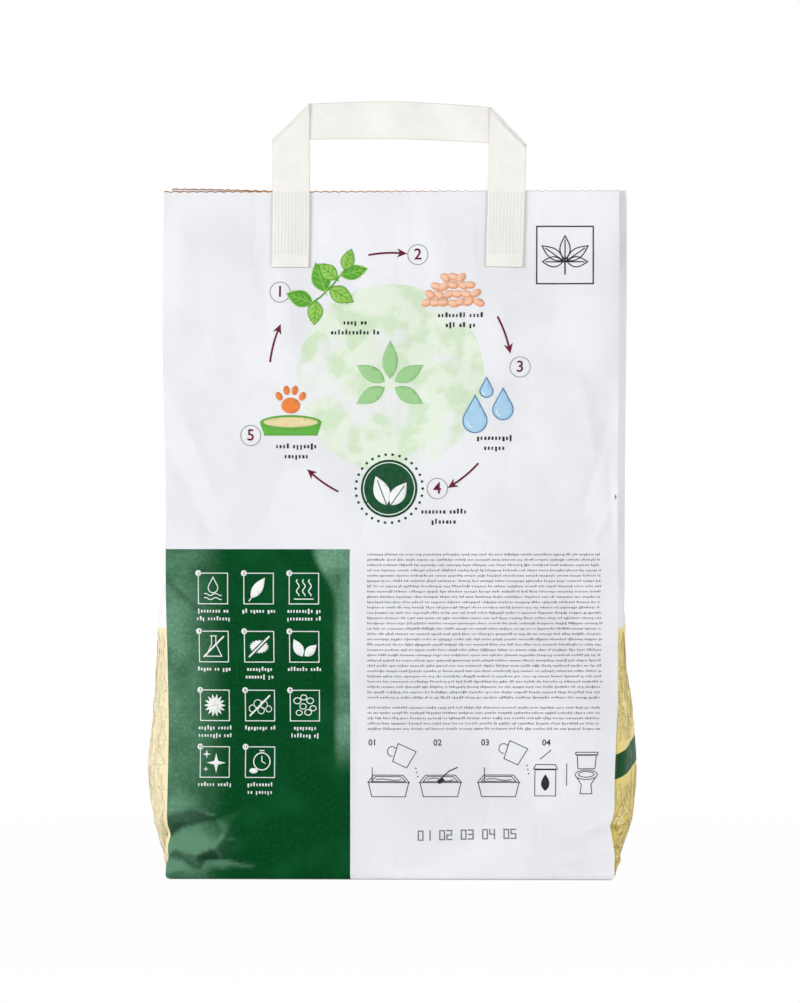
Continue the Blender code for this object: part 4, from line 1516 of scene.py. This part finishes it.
def icon_drop(art, x, z):
    """A drop over two waves."""
    white_line(art, x, z, drop_outline(0.0, 0.4, 5.4), closed=True)
    for low in (-3.2, -5.4):
        white_line(art, x, z, [(dx, low + 0.6 * math.sin(1.1 * dx)) for dx in range(-5, 6)])


def icon_feather(art, x, z):
    """A feather with its quill."""
    art.leaf(x - 4.2, z - 5.2, 13.5, 5.6, math.radians(55), "white_ink")
    white_line(art, x, z, ((-5.4, -6.8), (-3.4, -4.0)), 0.6)


def icon_waves(art, x, z):
    """Three rising waves over a line."""
    for dx in (-3.4, 0.0, 3.4):
        white_line(art, x, z, [(dx + 0.8 * math.sin(1.2 * dz), dz) for dz in range(-4, 6)], 0.6)
    white_line(art, x, z, ((-5.6, -5.6), (5.6, -5.6)), 0.55)


def icon_flask(art, x, z):
    """A flask, crossed out."""
    white_line(art, x, z, ((-1.2, 5.6), (-1.2, 1.4), (-4.4, -5.2), (4.4, -5.2), (1.2, 1.4), (1.2, 5.6)))
    white_line(art, x, z, ((-1.9, 5.7), (1.9, 5.7)))
    slash(art, x, z)


def icon_burr(art, x, z):
    """A furry patch, crossed out."""
    radii = [5.6 if i % 2 else 4.4 for i in range(36)]
    turns = [math.radians(10.0 * i) for i in range(36)]
    burr = [(r * math.cos(a), 0.68 * r * math.sin(a)) for r, a in zip(radii, turns)]
    art.shape(moved(burr, x, z), "white_ink")
    art.stroke(moved(((-5.8, -5.6), (5.8, 5.6)), x, z), 2.3, "deep_green_ink")
    slash(art, x, z)


def icon_leaves(art, x, z):
    """Two leaves from one foot."""
    art.leaf(x - 1.0, z - 5.2, 10.5, 5.6, math.radians(118), "white_ink")
    art.leaf(x + 0.2, z - 5.0, 9.0, 5.0, math.radians(42), "white_ink", layer=1)


def icon_rosette(art, x, z):
    """A flower of narrow petals in two rings."""
    for ring, (count, length) in enumerate(((14, 6.2), (9, 4.2))):
        for i in range(count):
            angle = 2.0 * math.pi * (i + 0.5 * ring) / count
            art.leaf(x, z, length, 1.7, angle, "white_ink", layer=ring)


def icon_dust(art, x, z):
    """A puff of dust, crossed out."""
    puffs = ((-4.2, -1.6, 1.9), (-1.2, 0.9, 2.2), (2.2, 0.4, 2.0), (4.9, -1.8, 1.6), (0.6, -2.6, 1.8))
    for dx, dz, radius in puffs:
        art.ring(x + dx, z + dz, radius, 0.45, "white_ink", 0)
    slash(art, x, z)


def icon_beads(art, x, z):
    """A handful of beads."""
    beads = ((-4.2, 2.6, 2.0), (-0.6, 4.4, 1.7), (3.0, 2.6, 1.9), (-1.0, -0.4, 1.8), (4.6, -1.4, 1.7),
             (1.8, -3.6, 1.9), (-3.2, -3.8, 1.7))
    for dx, dz, radius in beads:
        art.ring(x + dx, z + dz, radius, 0.5, "white_ink", 0, 0.8)


def icon_sparkle(art, x, z):
    """Three four-pointed sparkles."""
    for dx, dz, size in ((0.8, -0.4, 5.4), (-4.6, 4.2, 2.4), (-5.0, -3.8, 1.6)):
        radii = [0.28 * size if i % 2 else size for i in range(8)]
        turns = [math.radians(45.0 * i) for i in range(8)]
        star = [(r * math.cos(a), r * math.sin(a)) for r, a in zip(radii, turns)]
        art.shape(moved(star, x + dx, z + dz), "white_ink")


def icon_clock(art, x, z):
    """A clock with a granule beside it."""
    art.ring(x + 1.0, z + 0.4, 4.6, 0.6, "white_ink", 0)
    white_line(art, x, z, ((1.0, 3.4), (1.0, 0.4), (3.2, -0.8)))
    white_line(art, x, z, ((-0.4, 6.2), (2.4, 6.2)), 0.6)
    art.disc(x - 3.6, z - 4.6, 2.4, "white_ink", 1, 0.6)


ICONS = (icon_drop, icon_feather, icon_waves, icon_flask, icon_burr, icon_leaves, icon_rosette,
         icon_dust, icon_beads, icon_sparkle, icon_clock)


class LITTERBAG_OT_icon_print(bpy.types.Operator):
    """Print the framed pictograms on the green block"""

    bl_idname = "litter_bag.icon_print"
    bl_label = "Icon Print"

    def execute(self, context):
        rng = random.Random(5)
        art = Artwork(context, paper_surface())
        for index, draw in enumerate(ICONS):
            x, z = ICON_COLUMNS[index % 3], ICON_ROWS[index // 3]
            white_line(art, x, z, [(a * ICON_HALF, b * ICON_HALF) for a, b in SQUARE], closed=True)
            draw(art, x, z)
            art.disc(x - ICON_HALF, z + ICON_HALF, 1.65, "white_ink", 1, segments=18)
            art.number(str(index + 1), x - ICON_HALF, z + ICON_HALF, 2.3, "deep_green_ink", 2)
            for line in range(1 if index % 2 else 2):
                width = rng.uniform(14.0, 21.0)
                art.words(x, z - 12.2 - 4.1 * line, width, "white_ink", rng, 2.1, 0.5, 5.5)
        art.lay_on_sack("icon_block_print")
        return {"FINISHED"}


# Small print and drawings, in mm

TEXT_LEFT, TEXT_RIGHT, TEXT_TOP, TEXT_PITCH, TEXT_LINES = -11.3, 115.2, 174.2, 2.83, 33
TEXT_PAUSE_LINE, TEXT_PAUSE = 28, 2.6       # a gap before this line
MARK_LEFT, MARK_RIGHT, MARK_LOW, MARK_HIGH = 79.0, 109.6, 320.4, 351.8
DOTS_X, DOTS_Z, DOTS_PITCH, DOTS_RISE = 16.5, 23.8, 3.9, 0.02
DOTTED_NUMBERS = "01 02 03 04 05"
DIGIT_WIDTH, DIGIT_BAR = 2.5, 2.4
LINE = 0.42                 # how wide the step drawings' lines are


class LITTERBAG_OT_small_print(bpy.types.Operator):
    """Print the block of small lines, the corner mark and the dotted number line"""

    bl_idname = "litter_bag.small_print"
    bl_label = "Small Print"

    def execute(self, context):
        rng = random.Random(23)
        art = Artwork(context, paper_surface())
        for line in range(TEXT_LINES):
            z = TEXT_TOP - TEXT_PITCH * line - (TEXT_PAUSE if line >= TEXT_PAUSE_LINE else 0.0)
            art.words(TEXT_LEFT, z, TEXT_RIGHT - TEXT_LEFT, "text_ink", rng, 1.15, 0.0, 6.0)
        art.lay_on_sack("small_print_lines")

        mark = Artwork(context, paper_surface())
        frame_line = ((MARK_LEFT, MARK_LOW), (MARK_RIGHT, MARK_LOW), (MARK_RIGHT, MARK_HIGH),
                      (MARK_LEFT, MARK_HIGH))
        mark.stroke(frame_line, 0.75, "black_ink", 0, closed=True)
        middle = 0.5 * (MARK_LEFT + MARK_RIGHT)
        mark.stroke([(middle, MARK_LOW + 5), (middle, MARK_LOW + 15)], 0.8, "black_ink", 0)
        for turn, length in ((90, 13), (145, 14), (35, 14), (180, 11), (0, 11)):
            angle = math.radians(turn)
            foot_x, foot_z = middle + 1.2 * math.cos(angle), MARK_LOW + 12 + 1.2 * math.sin(angle)
            mark.leaf(foot_x, foot_z, length, 5.6, angle, None, "black_ink", 0, 0.6)
        mark.lay_on_sack("corner_mark")

        dots = Artwork(context, paper_surface())
        for place, character in enumerate(DOTTED_NUMBERS):
            along = DOTS_PITCH * place
            for dx, dz in dotted_digit(character):
                dots.disc(DOTS_X + along + dx, DOTS_Z + DOTS_RISE * along + dz, 0.42, "dot_ink", segments=8)
        dots.lay_on_sack("dotted_number_line")
        return {"FINISHED"}


# The seven bars of a digit, each from one corner to another, and the bars of 0 to 5
BARS = {"a": ((0, 2), (1, 2)), "b": ((1, 1), (1, 2)), "c": ((1, 0), (1, 1)), "d": ((0, 0), (1, 0)),
        "e": ((0, 0), (0, 1)), "f": ((0, 1), (0, 2)), "g": ((0, 1), (1, 1))}
DIGITS = {"0": "abcdef", "1": "bc", "2": "abged", "3": "abgcd", "4": "fgbc", "5": "afgcd", " ": ""}


def dotted_digit(character):
    """The dots of one digit, along the bars that make it up."""
    dots = set()
    for bar in DIGITS[character]:
        (x0, z0), (x1, z1) = BARS[bar]
        for share in (0.0, 1.0 / 3.0, 2.0 / 3.0, 1.0):
            x, z = x0 + (x1 - x0) * share, z0 + (z1 - z0) * share
            dots.add((round(DIGIT_WIDTH * x, 3), round(DIGIT_BAR * (z - 1.0), 3)))
    return sorted(dots)


def black_line(art, x, z, points, closed=True):
    """A thin line of a step drawing, from its lower left corner."""
    art.stroke(moved(points, x, z), LINE, "black_ink", 0, closed)


def draw_tray(art, left, low, heap):
    """An open tray in outline, with its litter line."""
    black_line(art, left, low, ((0.0, 7.6), (23.0, 7.6), (19.6, 11.6), (3.4, 11.6)))
    black_line(art, left, low, ((2.0, 8.2), (21.0, 8.2), (18.4, 10.8), (4.6, 10.8)))
    black_line(art, left, low, ((0.4, 7.4), (2.2, 0.0), (20.8, 0.0), (22.6, 7.4)), closed=False)
    litter = [(4.5 + i, 9.2 + heap * math.sin(0.45 * i)) for i in range(15)]
    black_line(art, left, low, litter, closed=False)


def draw_cup(art, x, z):
    """A cup, tipped to pour."""
    tilt = math.radians(-24.0)
    cup = turned(((-5.4, 5.0), (5.4, 5.0), (4.2, -5.0), (-4.2, -5.0)), tilt)
    black_line(art, x, z, cup)
    black_line(art, x, z, turned(arc(-6.6, -0.2, 2.6, 60.0, 300.0), tilt), closed=False)
    for i in range(3):
        art.disc(x + 6.8 + 0.5 * i, z - 6.5 - 2.2 * i, 0.4, "black_ink", segments=8)


def draw_bin(art, left, low):
    """A waste bin with its lid."""
    black_line(art, left, low, ((0.0, 0.0), (11.4, 0.0), (11.4, 14.0), (0.0, 14.0)))
    black_line(art, left, low, ((-0.8, 14.4), (12.2, 14.4), (11.0, 16.8), (0.4, 16.8)))
    black_line(art, left, low, ((2.5, 19.5), (8.5, 24.5)), closed=False)
    art.leaf(left + 5.7, low + 2.6, 9.0, 4.6, math.radians(90), "black_ink")


def draw_bowl(art, left, low):
    """A lavatory bowl with its cistern."""
    black_line(art, left, low, ((1.4, 20.6), (11.8, 20.6), (11.2, 13.4), (2.0, 13.4)))
    black_line(art, left, low, ((0.6, 22.2), (12.6, 22.2), (12.6, 20.9), (0.6, 20.9)))
    art.ring(left + 6.6, low + 10.2, 6.0, LINE, "black_ink", 0, 0.42)
    art.ring(left + 6.6, low + 10.4, 4.2, LINE, "black_ink", 0, 0.36)
    foot = ((1.6, 8.6), (4.0, 5.0), (3.4, 0.0), (9.8, 0.0), (9.2, 5.0), (11.6, 8.6))
    black_line(art, left, low, foot, closed=False)


class LITTERBAG_OT_step_print(bpy.types.Operator):
    """Print the four numbered line drawings"""

    bl_idname = "litter_bag.step_print"
    bl_label = "Step Print"

    def execute(self, context):
        art = Artwork(context, paper_surface())
        for left, heap in ((-11.3, 0.3), (17.2, 0.8), (48.9, 0.4)):
            draw_tray(art, left, 44.7, heap)
        draw_cup(art, 8.5, 66.5)
        draw_cup(art, 69.0, 68.0)
        # The scoop in the second tray
        art.stroke([(29.0, 54.5), (33.5, 58.5), (38.0, 60.5)], 0.6, "black_ink", 0)
        art.shape([(26.5, 52.8), (29.5, 55.4), (31.0, 53.6), (28.2, 51.4)], "black_ink", 0)
        # The fill marks of two trays, and the line between the bin and the bowl
        for x, low, high in ((-8.8, 52.6, 60.4), (52.6, 52.6, 60.4), (97.5, 50.6, 62.6)):
            art.stroke([(x, low), (x, high)], LINE, "black_ink", 0)
        draw_bin(art, 80.2, 45.2)
        draw_bowl(art, 101.6, 46.4)
        for text, x in (("01", -8.6), ("02", 27.0), ("03", 52.8), ("04", 86.0)):
            art.number(text, x, 73.6, 4.6, "black_ink", 0)
        art.lay_on_sack("step_drawings")
        return {"FINISHED"}


# Foliage on the gussets and the far panel

LEAF_PITCH, LEAF_ROW = 7.6, 6.6
LEAF_TURNS, LEAF_TURN_SPREAD = (35.0, 145.0, 70.0, 110.0), 18.0
LEAF_STEPS = 7              # few, because there are hundreds of leaves
LEAF_MARGIN = 2.9           # half a leaf's width, so that no leaf laps over a fold
LEAF_CLEARANCE = 1.5        # how far a leaf keeps above and below its foot and tip
FOLIAGE_FOOT, FOLIAGE_LOW, FOLIAGE_HEADROOM = 2.0, 0.5, 4.0


def draw_foliage(art, left, right, form, inks, rng, with_band):
    """Rows of overlapping leaves, their tips swinging to and fro, with the green band left bare."""
    rows = int((FOLIAGE_TOP - FOLIAGE_HEADROOM) / LEAF_ROW)
    count = int((right - left) / LEAF_PITCH)
    for row in range(rows + 1):
        for i in range(count + 1):
            x = left + LEAF_PITCH * (i + 0.5 * (row % 2)) + rng.uniform(-1.6, 1.6)
            x = min(max(x, left + LEAF_MARGIN), right - LEAF_MARGIN)
            z = FOLIAGE_FOOT + LEAF_ROW * row + rng.uniform(-1.2, 1.2)
            turn = rng.choice(LEAF_TURNS) + rng.uniform(-LEAF_TURN_SPREAD, LEAF_TURN_SPREAD)
            turn = math.radians(turn)
            length, width = rng.uniform(9.0, 13.0), rng.uniform(4.0, 5.6)
            if not left + LEAF_MARGIN < x + length * math.cos(turn) < right - LEAF_MARGIN:
                turn = math.pi - turn
            tip_x, tip_z = x + length * math.cos(turn), z + length * math.sin(turn)
            low, high = min(z, tip_z) - LEAF_CLEARANCE, max(z, tip_z) + LEAF_CLEARANCE
            band = BAND_HEIGHT + BAND_RISE * min(x - form.half / MM, form.depth / MM)
            in_band = with_band and low < band + BAND_HALF and high > band - BAND_HALF
            inside = left + LEAF_MARGIN < tip_x < right - LEAF_MARGIN and high < FOLIAGE_TOP
            if inside and not in_band and low > FOLIAGE_LOW:
                layer = 2 * ((i + row) % 3)
                art.leaf(x, z, length, width, turn, *inks, layer, 0.30, 2, steps=LEAF_STEPS)


class LITTERBAG_OT_foliage_print(bpy.types.Operator):
    """Print the leaves on the gussets and on the far panel"""

    bl_idname = "litter_bag.foliage_print"
    bl_label = "Foliage Print"

    def execute(self, context):
        form = SackForm(context.scene.bag_sizes)
        olive, cream = ("olive_leaf_ink", "olive_line_ink"), ("cream_leaf_ink", "cream_line_ink")
        groups = (("right_gusset_foliage", 1, olive, 31), ("far_panel_foliage", 2, olive, 32),
                  ("left_gusset_foliage", 3, cream, 33))
        for name, zone, inks, seed in groups:
            art = Artwork(context, paper_surface())
            left = form.zone_starts[zone] / MM
            right = (form.zone_starts[zone] + form.zone_lengths[zone]) / MM
            draw_foliage(art, left, right, form, inks, random.Random(seed), with_band=zone != 3)
            art.lay_on_sack(name)
        return {"FINISHED"}


# The stage

LAMPS = (
    ("left_softbox", (-2.9, -1.4, 1.15), 1.4, 81.0),
    ("right_softbox", (2.2, -1.5, 0.9), 1.3, 33.0),
    ("front_softbox", (0.3, -3.6, 0.8), 1.6, 14.0),
    ("back_softbox", (0.4, 2.6, 1.6), 2.0, 48.0),
)
WORLD_STRENGTH = 0.24
FLOOR_HALF, FLOOR_DROP = 12.0, 0.0003
FLOOR_WHITE_SHARE, FLOOR_SHADOW_START, FLOOR_SHADOW_REACH = 0.95, 0.25, 0.9
SENSOR_WIDTH, CLIP_START, CLIP_END = 36.0, 0.1, 50.0


def seen_directly(add):
    """1 for camera, glossy and transmission rays, else 0."""
    rays = [add("LightPath", output=f"Is {kind} Ray") for kind in ("Camera", "Glossy", "Transmission")]
    return combine(add, "MAXIMUM", *rays)


def studio_floor(colour):
    """A matt white sweep, which keeps the bag's soft shadow."""
    material, add, shader = new_material(
        "matt_white_sweep", {"Roughness": 0.9, "Specular IOR Level": 0.0})
    place = add("TexCoord", output="Object")
    grain = cloud(add, place, 40.0, 2.0, 0.3, 0.7)
    set_inputs(shader, {"Base Color": layered(add, colour, (grain, darker(colour, 0.985)))})
    white = add("Emission", {"Color": WHITE_LIGHT, "Strength": 1.0})
    away = add("VectorMath", (place,), "Value", operation="LENGTH")
    reach = (FLOOR_SHADOW_START, FLOOR_SHADOW_REACH, FLOOR_WHITE_SHARE, 1.0)
    white_share = add("MapRange", (away, *reach), **SOFT)
    share = combine(add, "MULTIPLY", seen_directly(add), white_share)
    both = add("MixShader", (share, shader.outputs["BSDF"], white))
    set_inputs(material.node_tree.nodes["Material Output"], {"Surface": both})
    return material


def studio_world():
    """Even studio light from all round, with a white background."""
    world = bpy.data.worlds.new("white_studio")
    world.use_nodes = True
    add = partial(add_node, world.node_tree)
    strength = add("Math", (seen_directly(add), 1.0 - WORLD_STRENGTH, WORLD_STRENGTH),
                   operation="MULTIPLY_ADD")
    set_inputs(world.node_tree.nodes["Background"], {"Color": WHITE_LIGHT, "Strength": strength})
    return world


def add_lamp(scene, target, name, place, size, power):
    """A square softbox, turned to the bag."""
    light = bpy.data.lights.new(name, "AREA")
    light.shape = "SQUARE"
    light.size = size
    light.energy = power
    lamp = bpy.data.objects.new(name, light)
    lamp.location = place
    lamp.rotation_euler = (target - Vector(place)).to_track_quat("-Z", "Y").to_euler()
    lamp.visible_camera = False
    scene.collection.objects.link(lamp)


class LITTERBAG_OT_studio_stage(bpy.types.Operator):
    """Set the floor, the lamps and the camera"""

    bl_idname = "litter_bag.studio_stage"
    bl_label = "Studio Stage"

    def execute(self, context):
        scene = context.scene
        stage = scene.stage_settings
        bm = bmesh.new()
        bmesh.ops.create_grid(bm, x_segments=4, y_segments=4, size=FLOOR_HALF)
        bmesh.ops.translate(bm, verts=bm.verts[:], vec=(0.0, 0.0, -FLOOR_DROP))
        mesh = bpy.data.meshes.new("studio_floor")
        bm.to_mesh(mesh)
        bm.free()
        mesh.materials.append(studio_floor(stage.floor))
        floor = bpy.data.objects.new("studio_floor", mesh)
        scene.collection.objects.link(floor)
        scene.world = studio_world()
        target = Vector((0.0, 0.0, 0.5 * SACK_TOP.z))
        for lamp in LAMPS:
            add_lamp(scene, target, *lamp)

        lens = bpy.data.cameras.new("photo_camera")
        lens.lens = stage.lens
        lens.sensor_width = SENSOR_WIDTH
        lens.clip_start, lens.clip_end = CLIP_START, CLIP_END
        camera = bpy.data.objects.new("photo_camera", lens)
        sine, cosine = math.sin(stage.turn), math.cos(stage.turn)
        camera.location = (stage.distance * sine + stage.side_step * cosine,
                           -stage.distance * cosine + stage.side_step * sine, stage.height)
        camera.rotation_euler = (math.radians(90.0), 0.0, stage.turn)
        scene.collection.objects.link(camera)
        scene.camera = camera
        scene.view_settings.view_transform = "Standard"
        return {"FINISHED"}


# The sidebar panel and registration

OPERATORS = (LITTERBAG_OT_paper_sack, LITTERBAG_OT_carry_handle, LITTERBAG_OT_cycle_print,
             LITTERBAG_OT_icon_print, LITTERBAG_OT_small_print, LITTERBAG_OT_step_print,
             LITTERBAG_OT_foliage_print, LITTERBAG_OT_studio_stage)
SETTINGS = {"bag_sizes": BagSizes, "paper_colours": PaperColours, "ink_colours": InkColours,
            "stage_settings": StageSettings}


class LITTERBAG_PT_panel(bpy.types.Panel):
    """Lists the bag's pieces and settings"""

    bl_idname = "LITTERBAG_PT_panel"
    bl_label = "Litter Bag"
    bl_space_type = "VIEW_3D"
    bl_region_type = "UI"
    bl_category = "Litter Bag"

    def draw(self, context):
        for operator in OPERATORS:
            self.layout.operator(operator.bl_idname)
        for name, group in SETTINGS.items():
            box = self.layout.box()
            for field in group.__annotations__:
                box.prop(getattr(context.scene, name), field)


def register():
    for group in SETTINGS.values():
        bpy.utils.register_class(group)
    for name, group in SETTINGS.items():
        setattr(bpy.types.Scene, name, PointerProperty(type=group))
    for operator in OPERATORS:
        bpy.utils.register_class(operator)
    bpy.utils.register_class(LITTERBAG_PT_panel)


def unregister():
    bpy.utils.unregister_class(LITTERBAG_PT_panel)
    for operator in reversed(OPERATORS):
        bpy.utils.unregister_class(operator)
    for name, group in SETTINGS.items():
        delattr(bpy.types.Scene, name)
        bpy.utils.unregister_class(group)


def main():
    register()
    bpy.ops.litter_bag.paper_sack()
    bpy.ops.litter_bag.carry_handle()
    bpy.ops.litter_bag.cycle_print()
    bpy.ops.litter_bag.icon_print()
    bpy.ops.litter_bag.small_print()
    bpy.ops.litter_bag.step_print()
    bpy.ops.litter_bag.foliage_print()
    bpy.ops.litter_bag.studio_stage()


if __name__ == "__main__":
    main()
